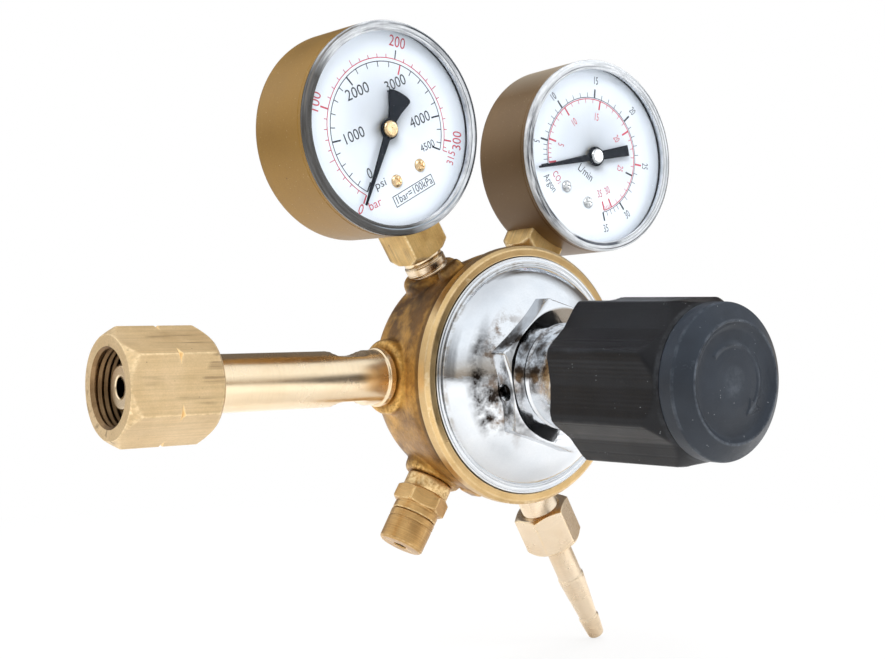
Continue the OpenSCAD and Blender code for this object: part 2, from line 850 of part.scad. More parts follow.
module movement_frame() {
    rear = frame_front + plate_thick + plate_gap;
    color([0.8, 0.64, 0.36])
        difference() {
            union() {
                for (y = [frame_front, rear])
                    translate([-10, y, -plate_drop])
                        cube([20, plate_thick, 24]);
                for (side = [-1, 1])
                    translate([side * pillar_x, 0, -18])
                        rod_y(1.3, frame_front + plate_thick - eps, rear + eps);
            }
            rod_y(arbor_r + run_fit, frame_front - 1, rear + plate_thick + 1);
            translate([0, 0, -sector_drop])
                rod_y(arbor_r + run_fit, frame_front - 1, rear + plate_thick + 1);
            for (side = [-1, 1])
                translate([side * screw_x, 0, screw_z])
                    rod_y(0.85 + thread_fit, frame_front - 1, frame_front + plate_thick + 1);
        }
}

function tooth_tip(r) = r + tooth_depth * 0.7;

// Outline of straight-sided teeth from tooth first to tooth last on a pitch circle
function tooth_points(r, step, first, last, middle) = [
    for (i = [first : last])
        let (a = middle + i * step)
        each [
            [(r - tooth_depth) * cos(a - step * 0.36), (r - tooth_depth) * sin(a - step * 0.36)],
            [tooth_tip(r) * cos(a - step * 0.12), tooth_tip(r) * sin(a - step * 0.12)],
            [tooth_tip(r) * cos(a + step * 0.12), tooth_tip(r) * sin(a + step * 0.12)],
            [(r - tooth_depth) * cos(a + step * 0.36), (r - tooth_depth) * sin(a + step * 0.36)]
        ]
];

module sector_gear(sweep) {
    step = 360 / pinion_teeth / gear_ratio;
    half = ceil(sweep / gear_ratio / 2 / step) + 1;
    centre = 90 - half_steps(sweep, step) * step;
    color([0.82, 0.66, 0.36])
        translate([0, 0, -sector_drop]) {
            difference() {
                union() {
                    translate([0, gear_y + gear_t, 0])
                        rotate([90, 0, 0])
                            linear_extrude(height = gear_t) {
                                difference() {
                                    polygon(concat([[0, 0]], tooth_points(sector_r, step, -half, half, centre)));
                                    circle(r = sector_r - tooth_depth - 2.2);
                                }
                                rotate(centre)
                                    translate([0, -1.6])
                                        square([sector_r - tooth_depth - 1.5, 3.2]);
                                circle(r = 2.4);
                                rotate(tail_angle(sweep))
                                    translate([0, -1.1])
                                        square([tail_pin, 2.2]);
                                rotate(tail_angle(sweep))
                                    translate([tail_pin, 0])
                                        circle(r = 1.3);
                            }
                    rod_y(arbor_r, frame_front + 0.1, frame_front + plate_gap + 2 * plate_thick - 0.1);
                }
                rotate([0, -tail_angle(sweep), 0])
                    translate([tail_pin, 0, 0])
                        rod_y(0.6, gear_y - 1, gear_y + gear_t + 1);
            }
        }
}

// Whole tooth steps from the sector's middle to its contact with the pinion at rest
function half_steps(sweep, step) = round(sweep / gear_ratio / 2 / step);
function tail_angle(sweep) = -90 - sweep / gear_ratio / 2;

module pinion_arbor() {
    step = 360 / pinion_teeth;
    color([0.84, 0.68, 0.4])
        union() {
            translate([0, gear_y + gear_t + 0.2, 0])
                rotate([90, 0, 0])
                    linear_extrude(height = gear_t + 0.4)
                        polygon(tooth_points(pinion_r, step, 0, pinion_teeth - 1, 90 + step / 2));
            rod_y(arbor_r, pointer_y() - 0.1, frame_front + plate_gap + 2 * plate_thick - 0.1);
        }
}

module movement_link(sweep) {
    a = tail_angle(sweep);
    px = tail_pin * cos(a);
    pz = -sector_drop + tail_pin * sin(a);
    ex = link_reach * cos(tube_end) + 0.4 * sin(tube_end);
    ez = link_reach * sin(tube_end) - 0.4 * cos(tube_end);
    color([0.78, 0.62, 0.36])
        translate([px, 0, pz]) {
            rod_y(0.6 - run_fit, gear_y - 1.6, gear_y + gear_t + 0.3);
            difference() {
                rotate([0, -atan2(ez - pz, ex - px), 0])
                    translate([0, gear_y - 1.6, 0]) {
                        translate([0, 0, -0.9])
                            cube([norm([ex - px, ez - pz]), 0.8, 1.8]);
                        rod_y(1.2, 0, 0.8);
                        translate([norm([ex - px, ez - pz]), 0, 0])
                            rod_y(1.2, 0, 0.8);
                    }
                translate([ex - px, 0, ez - pz])
                    rod_y(0.5 + run_fit, gear_y - 3, gear_y);
            }
        }
}

// Flat spiral spring round the arbor
module hairspring() {
    turns = 3;
    steps = 20;
    inner = arbor_r + 0.1;
    pitch = 1.1;
    width = 0.22;
    color([0.6, 0.62, 0.66])
        translate([0, frame_front + plate_thick + 1.4, 0])
            rotate([90, 0, 0])
                linear_extrude(height = 0.6)
                    polygon(concat(
                        [for (i = [0 : turns * steps])
                            let (a = 360 * i / steps, r = inner + pitch * i / steps)
                            [r * cos(a), r * sin(a)]],
                        [for (i = [turns * steps : -1 : 0])
                            let (a = 360 * i / steps, r = inner + width + pitch * i / steps)
                            [r * cos(a), r * sin(a)]]
                    ));
}

function pointer_y() = dial_y - 1.4;

// A flat pointer along local +X, with a counterweight behind the pivot
module pointer_blade(tail_len, tail_w1) {
    translate([0, pointer_y() + 0.5, 0])
        rotate([90, 0, 0])
            linear_extrude(height = 0.5)
                difference() {
                    union() {
                        polygon([
                            [-1, -1.1], [pointer_len, -0.35], [pointer_len, 0.35], [-1, 1.1]
                        ]);
                        polygon([
                            [1.5, -1.3], [1.5, 1.3], [-tail_len, tail_w1], [-tail_len, -tail_w1]
                        ]);
                        circle(r = 3);
                    }
                    circle(r = arbor_r + 0.02);
                }
}

module pointer_hub() {
    difference() {
        turned_y([
            [0, pointer_y() - 0.9], [2.1, pointer_y() - 0.9], [2.4, pointer_y() - 0.7],
            [2.4, pointer_y() - seat_fit], [0, pointer_y() - seat_fit]
        ]);
        rod_y(arbor_r + 0.02, pointer_y() - 0.4, pointer_y() + 1);
    }
}

module relief_body() {
    z0 = port_depth + 1;
    color([0.76, 0.57, 0.32])
        at_port(relief_angle)
            difference() {
                union() {
                    rod_z(relief_port_r, z0, port_top + 1);
                    rod_z(relief_neck_r, port_top + seat_fit, relief_hex + 0.1);
                    hex_bar(relief_af, relief_hex, relief_hex + 5.1, 0.7, 0.7);
                    rod_z(relief_neck_r - 0.1, relief_hex + 5, relief_joint);
                    rod_z(5.6, relief_joint - 1, relief_joint + 5.5);
                }
                rod_z(1.2, z0 - 1, relief_floor + 1);
                rod_z(4.2, relief_floor, relief_joint + 6);
            }
}

module relief_cap() {
    top = relief_joint + relief_cap_len;
    color([0.66, 0.46, 0.24])
        at_port(relief_angle)
            difference() {
                turned_z([
                    [0, top], [relief_cap_r - 0.5, top], [relief_cap_r, top - 0.6],
                    [relief_cap_r + 0.15, relief_joint + 0.3],
                    [relief_cap_r - 0.1, relief_joint + seat_fit], [0, relief_joint + seat_fit]
                ]);
                rod_z(5.6 + thread_fit, relief_joint - 1, top - 2.2);
                rod_z(relief_hole_r, relief_joint + 4, top + 1);
            }
}

module relief_poppet() {
    z0 = relief_floor + seat_fit;
    color([0.8, 0.8, 0.78])
        at_port(relief_angle)
            turned_z([
                [0, z0], [2.4, z0], [2.6, z0 + 0.8], [3.9, z0 + 1], [3.9, z0 + 2.6],
                [1.5, z0 + 2.6], [1.5, z0 + 5], [0, z0 + 5]
            ]);
}

module relief_spring() {
    color([0.6, 0.6, 0.62])
        at_port(relief_angle)
            coil_spring(2.9, 6, relief_floor + 2.7, relief_joint + relief_cap_len - 2.25, 0.8);
}

module outlet_stud() {
    z0 = port_depth + 1;
    color([0.83, 0.66, 0.36])
        at_port(outlet_angle)
            difference() {
                union() {
                    rod_z(port_thread_r, z0, port_top - 1);
                    rod_z(port_thread_r - 0.45, port_top - 2, outlet_nut_start + 0.8);
                    rod_z(port_thread_r - 0.1, outlet_nut_start + 0.7, outlet_nut_start + 6.2);
                }
                rod_z(1.6, z0 - 1, outlet_nut_start + 7);
                turned_z([
                    [0, outlet_nut_start + 3.5], [1.6, outlet_nut_start + 3.5],
                    [4.4, outlet_nut_start + 6.3], [0, outlet_nut_start + 6.3]
                ]);
            }
}

module outlet_nut() {
    z0 = outlet_nut_start;
    z1 = outlet_nut_start + outlet_nut_len;
    color([0.85, 0.69, 0.4])
        at_port(outlet_angle)
            difference() {
                hex_bar(outlet_af, z0, z1, 0.6, 1);
                rod_z(port_thread_r - 0.1 + run_fit, z0 - 1, z1 - 3.4);
                rod_z(tail_r + 0.15, z1 - 4, z1 + 1);
            }
}

module hose_tail() {
    z0 = outlet_nut_start + 6.2;
    zn = outlet_nut_start + outlet_nut_len;
    end = zn + tail_len;
    color([0.84, 0.68, 0.4])
        at_port(outlet_angle)
            difference() {
                turned_z([
                    [0, z0 - 1.3], [2.6, z0 - 1.3], [3.9, z0 + seat_fit], [port_thread_r - 0.4, z0 + seat_fit],
                    [port_thread_r - 0.4, zn - 3.4 - face_gap], [tail_r, zn - 3.4 - face_gap],
                    [tail_r, zn + 13.1], [tail_r + 0.3, zn + 13.4], [tail_r + 0.3, zn + 14.6],
                    [tail_r - 1.1, end - 8.1], [tail_r - 0.75, end - 7.6],
                    [tail_r - 0.75, end - 7.1], [tail_r - 1.6, end], [0, end]
                ]);
                rod_z(tail_bore_r, z0 - 2, end + 1);
            }
}

module contents_case() {
    at_contents()
        gauge_case([0.6, 0.46, 0.24], case_rear + contents_deeper);
}

module flow_case() {
    at_flow()
        gauge_case([0.42, 0.32, 0.2], case_rear);
}

module contents_lens() {
    at_contents()
        gauge_lens();
}

module flow_lens() {
    at_flow()
        gauge_lens();
}

module contents_lens_seal() {
    at_contents()
        gauge_lens_seal();
}

module flow_lens_seal() {
    at_flow()
        gauge_lens_seal();
}

module contents_dial() {
    at_contents()
        gauge_dial();
}

module flow_dial() {
    at_flow()
        gauge_dial();
}

module contents_dial_screws() {
    at_contents()
        gauge_dial_screws([0.85, 0.66, 0.35]);
}

module flow_dial_screws() {
    at_flow()
        gauge_dial_screws([0.8, 0.8, 0.8]);
}

module contents_socket() {
    at_contents()
        gauge_socket(contents_reach, port_top + contents_gap);
}

module flow_socket() {
    at_flow()
        gauge_socket(flow_reach, port_top + flow_gap);
}

module contents_bourdon_tube() {
    at_contents()
        bourdon_tube();
}

module flow_bourdon_tube() {
    at_flow()
        bourdon_tube();
}

module contents_movement_frame() {
    at_contents()
        movement_frame();
}

module flow_movement_frame() {
    at_flow()
        movement_frame();
}

module contents_sector_gear() {
    at_contents()
        sector_gear(contents_sweep);
}

module flow_sector_gear() {
    at_flow()
        sector_gear(flow_sweep);
}

module contents_pinion_arbor() {
    at_contents()
        pinion_arbor();
}

module flow_pinion_arbor() {
    at_flow()
        pinion_arbor();
}

module contents_link() {
    at_contents()
        movement_link(contents_sweep);
}

module flow_link() {
    at_flow()
        movement_link(flow_sweep);
}

module contents_hairspring() {
    at_contents()
        hairspring();
}

module flow_hairspring() {
    at_flow()
        hairspring();
}

module contents_pointer() {
    color([0.08, 0.08, 0.09])
        at_contents()
            rotate([0, -contents_zero, 0])
                pointer_blade(11.4, 4.2);
}

module flow_pointer() {
    color([0.1, 0.11, 0.12])
        at_flow()
            rotate([0, -flow_zero, 0])
                pointer_blade(14.6, 1.7);
}

module contents_pointer_hub() {
    color([0.85, 0.7, 0.42])
        at_contents()
            pointer_hub();
}

module flow_pointer_hub() {
    color([0.8, 0.8, 0.8])
        at_flow()
            pointer_hub();
}

regulator_body();
bonnet();
slip_ring();
diaphragm();
diaphragm_plate();
range_spring();
spring_button();
adjusting_screw();
knob();
knob_cap();
valve_nozzle();
valve_poppet();
valve_spring();
inlet_stem();
inlet_nut();
inlet_filter();
contents_case();
contents_lens();
contents_lens_seal();
contents_dial();
contents_dial_screws();
contents_socket();
contents_bourdon_tube();
contents_movement_frame();
contents_sector_gear();
contents_pinion_arbor();
contents_link();
contents_hairspring();
contents_pointer();
contents_pointer_hub();
flow_case();
flow_lens();
flow_lens_seal();
flow_dial();
flow_dial_screws();
flow_socket();
flow_bourdon_tube();
flow_movement_frame();
flow_sector_gear();
flow_pinion_arbor();
flow_link();
flow_hairspring();
flow_pointer();
flow_pointer_hub();
relief_body();
relief_cap();
relief_poppet();
relief_spring();
outlet_stud();
outlet_nut();
hose_tail();
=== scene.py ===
import math

import bmesh
import bpy
from mathutils import Matrix, Vector


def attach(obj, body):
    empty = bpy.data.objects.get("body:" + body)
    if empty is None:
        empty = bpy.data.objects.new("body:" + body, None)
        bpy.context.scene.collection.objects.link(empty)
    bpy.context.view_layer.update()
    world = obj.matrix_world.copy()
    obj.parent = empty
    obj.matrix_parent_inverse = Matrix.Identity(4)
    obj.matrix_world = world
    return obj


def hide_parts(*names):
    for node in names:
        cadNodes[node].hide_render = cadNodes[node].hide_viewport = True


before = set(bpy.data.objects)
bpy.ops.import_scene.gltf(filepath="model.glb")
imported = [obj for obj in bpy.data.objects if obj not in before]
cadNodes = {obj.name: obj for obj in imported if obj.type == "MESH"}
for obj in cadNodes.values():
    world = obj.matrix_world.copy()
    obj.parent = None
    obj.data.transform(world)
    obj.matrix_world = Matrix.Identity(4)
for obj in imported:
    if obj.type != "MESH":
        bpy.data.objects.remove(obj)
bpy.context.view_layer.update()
mm = 0.001
print("frame loaded:", len(cadNodes), "nodes")

# where things sit, in mm, as the construction has them
layout = {
    "bodyX": 124.3,
    "contentsAngle": 121.9,
    "contentsReach": 86.1,
    "flowAngle": 61.1,
    "flowReach": 80.0,
    "flowYaw": -2.7,
    "reliefAngle": 238.0,
    "outletAngle": 299.0,
}


def frameFrom(origin, xAxis, yAxis, zAxis):
    m = Matrix.Identity(4)
    for column, axis in enumerate((xAxis, yAxis, zAxis)):
        for row in range(3):
            m[row][column] = axis[row]
    m.translation = Vector(origin)
    return m


def portPlace(angleDeg, reach=0.0, yaw=0.0):
    # local Z runs out of the body along the port, local Y is the rear
    a = math.radians(angleDeg)
    base = frameFrom((layout["bodyX"] * mm, 0, 0), (math.sin(a), 0, -math.cos(a)), (0, 1, 0),
        (math.cos(a), 0, math.sin(a)))
    return base @ Matrix.Rotation(math.radians(yaw), 4, "Z") @ Matrix.Translation((0, 0, reach * mm))


def facePlace(base):
    # turns a port frame so that local Z looks to the front and local Y along the port
    return base @ Matrix.Rotation(math.radians(90), 4, "X")


bodyPlace = frameFrom((layout["bodyX"] * mm, 0, 0), (1, 0, 0), (0, 0, 1), (0, -1, 0))
stemPlace = frameFrom((0, 0, 0), (0, 0, -1), (0, 1, 0), (1, 0, 0))
contentsPlace = facePlace(portPlace(layout["contentsAngle"], layout["contentsReach"]))
flowPlace = facePlace(portPlace(layout["flowAngle"], layout["flowReach"], layout["flowYaw"]))


def roundProfile(points, steps=4, widest=0.0):
    # softens each corner that carries a third number, and keeps a close ring beside each bend
    out = []
    count = len(points)
    for i, p in enumerate(points):
        here = Vector(p[:2])
        soft = p[2] if len(p) > 2 else 0.0
        if soft <= 0 or i == 0 or i == count - 1:
            out.append(here)
            continue
        before, after = Vector(points[i - 1][:2]), Vector(points[i + 1][:2])
        toBefore, toAfter = before - here, after - here
        reach = min(soft, 0.45 * toBefore.length, 0.45 * toAfter.length)
        start = here + toBefore.normalized() * reach
        end = here + toAfter.normalized() * reach
        keep = min(0.08, 0.1 * reach + 0.02)
        out.append(start + toBefore.normalized() * keep)
        for s in range(steps + 1):
            t = s / steps
            out.append(start * (1 - t) ** 2 + here * 2 * t * (1 - t) + end * t * t)
        out.append(end + toAfter.normalized() * keep)
    if widest <= 0:
        return [(p.x, p.y) for p in out]
    dense = [out[0]]
    for p in out[1:]:
        gap = (p - dense[-1]).length
        parts = max(1, math.ceil(gap / widest))
        start = dense[-1]
        dense += [start.lerp(p, k / parts) for k in range(1, parts + 1)]
    return [(p.x, p.y) for p in dense]


def facetAngles(count, apothem, rounding, firstCorner, perFlat=14):
    # angles round a bar of flat sides, closer together at its rounded corners
    half = math.pi / count
    bend = half - math.atan((1 - rounding / apothem) * math.tan(half))
    angles = []
    for k in range(count):
        corner = math.radians(firstCorner) + 2 * half * k
        for f in (-1.35, -1.0, -0.55, 0.0, 0.55, 1.0, 1.35):
            angles.append(corner + bend * f)
        first, last = corner + bend * 1.35, corner + 2 * half - bend * 1.35
        for s in range(1, perFlat):
            angles.append(first + (last - first) * s / perFlat)
    return angles


def facetRadius(theta, count, apothem, rounding, firstCorner):
    half = math.pi / count
    fromCorner = (theta - math.radians(firstCorner)) % (2 * half)
    if fromCorner > half:
        fromCorner = 2 * half - fromCorner
    bend = half - math.atan((1 - rounding / apothem) * math.tan(half))
    if fromCorner >= bend:
        return apothem / math.cos(half - fromCorner)
    centre = (apothem - rounding) / math.cos(half)
    return centre * math.cos(fromCorner) + math.sqrt(max(0.0,
            rounding ** 2 - (centre * math.sin(fromCorner)) ** 2))


def softMin(a, b, k):
    h = max(0.0, min(1.0, 0.5 + 0.5 * (b - a) / k))
    return b * (1 - h) + a * h - k * h * (1 - h)


def turnedMesh(name, profile, around=128, angles=None, shape=None, loop=False):
    # sweeps a (radius, height) profile in mm about local Z; shape(theta, r, z) may change both
    angles = angles or [2 * math.pi * k / around for k in range(around)]
    bm = bmesh.new()
    rings = []
    for r, z in profile:
        if r < 1e-6:
            rings.append([bm.verts.new((0, 0, z * mm))])
            continue
        ring = []
        for t in angles:
            rr, zz = shape(t, r, z) if shape else (r, z)
            ring.append(bm.verts.new((rr * math.cos(t) * mm, rr * math.sin(t) * mm, zz * mm)))
        rings.append(ring)
    pairs = list(zip(rings, rings[1:]))
    if loop:
        pairs.append((rings[-1], rings[0]))
    n = len(angles)
    for low, high in pairs:
        for k in range(n):
            j = (k + 1) % n
            if len(low) == 1 and len(high) == 1:
                break
            if len(low) == 1:
                bm.faces.new((low[0], high[j], high[k]))
            elif len(high) == 1:
                bm.faces.new((low[k], low[j], high[0]))
            else:
                bm.faces.new((low[k], low[j], high[j], high[k]))
    bmesh.ops.recalc_face_normals(bm, faces=bm.faces)
    mesh = bpy.data.meshes.new(name)
    bm.to_mesh(mesh)
    bm.free()
    return mesh


placedCopies = {}


def placedFinish(finish, place):
    # a copy of a finish whose grain and lines follow the frame that a piece was turned in
    key = (finish.name, tuple(round(v, 6) for row in place for v in row))
    if key not in placedCopies:
        copy = finish.copy()
        own = copy.node_tree.nodes["own frame"]
        own.inputs["Location"].default_value = place.translation
        own.inputs["Rotation"].default_value = place.to_euler()
        placedCopies[key] = copy
    return placedCopies[key]


def finishPiece(name, mesh, place, body, finish, smooth=True, sharpDeg=None):
    piece = bpy.data.objects.new(name, mesh)
    bpy.context.scene.collection.objects.link(piece)
    mesh.transform(place)
    mesh.materials.clear()
    mesh.materials.append(placedFinish(finish, place))
    if smooth:
        mesh.shade_smooth()
    if sharpDeg:
        mesh.set_sharp_from_angle(angle=math.radians(sharpDeg))
    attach(piece, body)
    return piece


def turnedPiece(name, profile, place, body, finish, slot, **options):
    steps = options.pop("steps", 4)
    widest = options.pop("widest", 0.0)
    mesh = turnedMesh(name, roundProfile(profile, steps, widest), **options)
    return finishPiece(name, mesh, place, body, finish)


def facetPiece(name, profile, place, body, finish, bar, soft=0.45, widest=0.45, loop=False):
    # a turned profile cut by flat sides, with softened edges where the two meet
    angles = facetAngles(bar["count"], bar["apothem"], bar["rounding"], bar["corner"])

    def shape(t, r, z):
        return softMin(r, facetRadius(t, bar["count"], bar["apothem"], bar["rounding"], bar["corner"]),
            soft), z

    mesh = turnedMesh(name, roundProfile(profile, 4, widest), angles=angles, shape=shape, loop=loop)
    return finishPiece(name, mesh, place, body, finish)


def newTree(name):
    finish = bpy.data.materials.new(name)
    finish.use_nodes = True
    tree = finish.node_tree
    surface = tree.nodes["Principled BSDF"]
    return finish, tree, surface


def wire(tree, kind, plugs=None, **settings):
    item = tree.nodes.new(kind)
    for key, value in settings.items():
        setattr(item, key, value)
    for key, value in (plugs or {}).items():
        if isinstance(value, bpy.types.NodeSocket):
            tree.links.new(value, item.inputs[key])
        else:
            item.inputs[key].default_value = value
    return item


def maths(tree, operation, a, b=0.0, clamp=False):
    item = wire(tree, "ShaderNodeMath", {0: a, 1: b}, operation=operation)
    item.use_clamp = clamp
    return item.outputs[0]


def times(tree, a, b, clamp=False):
    return maths(tree, "MULTIPLY", a, b, clamp)


def plus(tree, a, b):
    return maths(tree, "ADD", a, b)


def minus(tree, a, b):
    return maths(tree, "SUBTRACT", a, b)


def divided(tree, a, b):
    return maths(tree, "DIVIDE", a, b)


def ramp(tree, value, stops, easing="LINEAR"):
    item = wire(tree, "ShaderNodeValToRGB", {"Fac": value})
    item.color_ramp.interpolation = easing
    bar = item.color_ramp.elements
    while len(bar) < len(stops):
        bar.new(0.5)
    for spot, (at, colour) in zip(bar, stops):
        spot.position = at
        spot.color = colour if len(colour) == 4 else (*colour, 1.0)
    return item.outputs["Color"]


def grey(v):
    return (v, v, v, 1.0)


def greyRamp(tree, value, low, high, start=0.0, end=1.0):
    # a grey that goes from start to end while the value goes from low to high
    return ramp(tree, value, [(low, grey(start)), (high, grey(end))])


def addBump(tree, surface, height):
    bump = wire(tree, "ShaderNodeBump", {"Height": height, "Strength": 1.0, "Distance": 1.0})
    tree.links.new(bump.outputs[0], surface.inputs["Normal"])


def blend(tree, share, a, b, mode="MIX"):
    item = tree.nodes.new("ShaderNodeMix")
    item.data_type = "RGBA"
    item.blend_type = mode
    for key, value in ((0, share), (6, a), (7, b)):
        if isinstance(value, bpy.types.NodeSocket):
            tree.links.new(value, item.inputs[key])
        else:
            item.inputs[key].default_value = value if key == 0 or len(value) == 4 else (*value, 1.0)
    return item.outputs[2]


def noise(tree, where, scale, detail=3.0, rough=0.55, stretch=None, seed=0.0):
    if stretch:
        where = wire(tree, "ShaderNodeMapping", {"Vector": where, "Scale": stretch}).outputs[0]
    item = wire(tree, "ShaderNodeTexNoise", {"Vector": where, "Scale": scale, "Detail": detail,
            "Roughness": rough, "W": seed}, noise_dimensions="4D")
    return item.outputs["Fac"]


def place3(tree):
    # where a point lies in the piece's own frame
    item = wire(tree, "ShaderNodeMapping", {"Vector": wire(tree, "ShaderNodeTexCoord").outputs["Object"]},
        vector_type="TEXTURE", name="own frame")
    return item.outputs[0]


def turnedLines(tree, where, scale, seed=0.0):
    # fine lathe lines: one coordinate that grows along the axis and out from it
    radius, _, along = polar(tree, where)
    item = wire(tree, "ShaderNodeTexNoise", {"W": plus(tree, plus(tree, radius, along), seed),
            "Scale": scale, "Detail": 2.5, "Roughness": 0.7}, noise_dimensions="1D")
    return item.outputs["Fac"]


def polar(tree, where):
    # distance from local Z in metres, turn about it in radians, and height along it
    parts = wire(tree, "ShaderNodeSeparateXYZ", {0: where})
    x, y = parts.outputs[0], parts.outputs[1]
    radius = maths(tree, "SQRT", plus(tree, times(tree, x, x), times(tree, y, y)))
    return radius, maths(tree, "ARCTAN2", y, x), parts.outputs[2]


def window(tree, value, middle, reach, sharpness):
    # 1 inside middle +- reach, falling to 0 at its ends
    away = maths(tree, "ABSOLUTE", minus(tree, value, middle))
    return times(tree, minus(tree, 1.0, divided(tree, away, reach)), sharpness, clamp=True)


def turnWindow(tree, turn, middleDeg, halfDeg, sharpness):
    offset = minus(tree, turn, math.radians(middleDeg))
    wrapped = maths(tree, "ARCTAN2", maths(tree, "SINE", offset), maths(tree, "COSINE", offset))
    return window(tree, wrapped, 0.0, math.radians(halfDeg), sharpness)


def tarnishShadeAndReflection(middleDeg, halfDeg, radii, heights, tint, amount, seed, scale=160.0):
    # brown tarnish, painted shade and painted reflections inside a sector of a turned piece, broken up by two
    # sizes of cloud
    def paint(tree, where, colour):
        radius, turn, along = polar(tree, where)
        area = turnWindow(tree, turn, middleDeg, halfDeg, 2.5)
        area = times(tree, area, window(tree, radius, (radii[0] + radii[1]) / 2 * mm,
                (radii[1] - radii[0]) / 2 * mm, 2.5))
        area = times(tree, area, window(tree, along, (heights[0] + heights[1]) / 2 * mm,
                (heights[1] - heights[0]) / 2 * mm, 2.5))
        cloud = greyRamp(tree, noise(tree, where, scale, 4.0, 0.62, seed=seed), 0.47, 0.60)
        return blend(tree, times(tree, times(tree, area, cloud), amount), colour, tint)
    return paint


def metalFinish(name, look):
    # brass and steel finishes: blotches, grain, lathe lines, specks and worn edges
    finish, tree, surface = newTree(name)
    where = place3(tree)
    blotch = noise(tree, where, look["blotchScale"], 4.0, 0.6)
    colour = ramp(tree, blotch, [(0.28, look["dark"]), (0.5, look["middle"]), (0.74, look["light"])])
    grain = noise(tree, where, look["grainScale"], 3.0, 0.65, seed=3.0)
    colour = blend(tree, look.get("grainTint", 0.2), colour, greyRamp(tree, grain, 0.3, 0.7, 0.25, 1.0),
        "MULTIPLY")
    height = times(tree, grain, look["grainDepth"])
    rough = greyRamp(tree, noise(tree, where, look["blotchScale"] * 2.3, 3.0, 0.6, seed=7.0), 0.3, 0.7,
        look["rough"][0], look["rough"][1])
    if look.get("lineScale"):
        lines = turnedLines(tree, where, look["lineScale"])
        colour = blend(tree, look.get("lineTint", 0.25), colour,
            greyRamp(tree, lines, 0.3, 0.65, 0.35, 1.0), "MULTIPLY")
        height = plus(tree, height, times(tree, lines, look["lineDepth"]))
    if look.get("specks"):
        spots = wire(tree, "ShaderNodeTexVoronoi", {"Vector": where, "Scale": look["specks"]["scale"]},
            feature="F1")
        mask = greyRamp(tree, spots.outputs["Distance"], look["specks"]["size"] * 0.6,
            look["specks"]["size"], 1.0, 0.0)
        some = greyRamp(tree, noise(tree, where, look["specks"]["scale"] * 0.35, 1.0, 0.5, seed=11.0),
            look["specks"]["share"], look["specks"]["share"] + 0.04)
        mask = times(tree, mask, some)
        colour = blend(tree, mask, colour, look["specks"]["colour"])
        height = plus(tree, height, times(tree, mask, look["specks"]["depth"]))
    if look.get("wear"):
        edge = wire(tree, "ShaderNodeNewGeometry").outputs["Pointiness"]
        worn = greyRamp(tree, edge, 0.505, 0.53)
        broken = times(tree, worn, greyRamp(tree, noise(tree, where, 900.0, 2.0, 0.6, seed=5.0), 0.35, 0.6))
        colour = blend(tree, broken, colour, look["wear"])
    for extra in look.get("marks", ()):
        colour = extra(tree, where, colour)
    tree.links.new(colour, surface.inputs["Base Color"])
    tree.links.new(rough, surface.inputs["Roughness"])
    surface.inputs["Metallic"].default_value = look.get("metallic", 1.0)
    addBump(tree, surface, height)
    if look.get("coat"):
        surface.inputs["Coat Weight"].default_value = look["coat"]
        surface.inputs["Coat Roughness"].default_value = look.get("coatRough", 0.2)
    return finish


def holeShadeSpot(at, radius, tint, power=1.0):
    # a small painted shade standing for a hole at one place on a piece, in its own mm
    def paint(tree, where, colour):
        gap = wire(tree, "ShaderNodeVectorMath", {0: where, 1: tuple(v * mm for v in at)},
            operation="DISTANCE").outputs["Value"]
        ragged = plus(tree, gap, times(tree, noise(tree, where, 900.0, 2.0), radius * mm * 0.6))
        mask = greyRamp(tree, divided(tree, ragged, radius * mm * 2.0), 0.42, 0.58, power, 0.0)
        return blend(tree, mask, colour, tint)
    return paint


def boreShade(reach, tint):
    # the unlit inside of a drilled hole
    def paint(tree, where, colour):
        radius, _, along = polar(tree, where)
        inside = greyRamp(tree, divided(tree, radius, reach * mm * 2.0), 0.45, 0.50, 0.96, 0.0)
        past = greyRamp(tree, divided(tree, along, 2.0 * mm), 0.02, 0.30)
        return blend(tree, times(tree, inside, past), colour, tint)
    return paint


def brushedAlong(tree, where, colour):
    # lengthwise brush lines with a few dark drag marks
    fine = noise(tree, where, 1500.0, 2.0, 0.6, stretch=(1.0, 1.0, 0.02), seed=13.0)
    colour = blend(tree, 0.24, colour, greyRamp(tree, fine, 0.35, 0.62, 0.45, 1.0), "MULTIPLY")
    drag = noise(tree, where, 520.0, 2.0, 0.5, stretch=(1.0, 1.0, 0.05), seed=17.0)
    patch = greyRamp(tree, noise(tree, where, 75.0, 1.0, 0.5, seed=21.0), 0.52, 0.62)
    return blend(tree, times(tree, greyRamp(tree, drag, 0.55, 0.68, 0.0, 0.75), patch), colour,
        (0.23, 0.15, 0.075))


def notchGlow(tree, where, colour):
    # paler brass in the V grooves at the nut's corners
    radius, _, along = polar(tree, where)
    away = maths(tree, "ABSOLUTE", minus(tree, along, nutShape["notchAt"] * mm))
    wall = plus(tree, nutShape["notchRadius"] * mm, times(tree, away, nutShape["notchSlope"]))
    cut = window(tree, minus(tree, radius, wall), 0.0, 0.22 * mm, 3.0)
    near = window(tree, away, 0.0, 0.8 * mm, 8.0)
    return blend(tree, times(tree, cut, near), colour, (0.84, 0.60, 0.30))


def deepShade(tree, where, colour):
    # a bore gets darker with depth
    _, _, along = polar(tree, where)
    deep = greyRamp(tree, divided(tree, plus(tree, along, 3.6 * mm), 12.0 * mm), 0.0, 0.9, 0.0, 0.9)
    return blend(tree, deep, colour, (0.035, 0.022, 0.012))


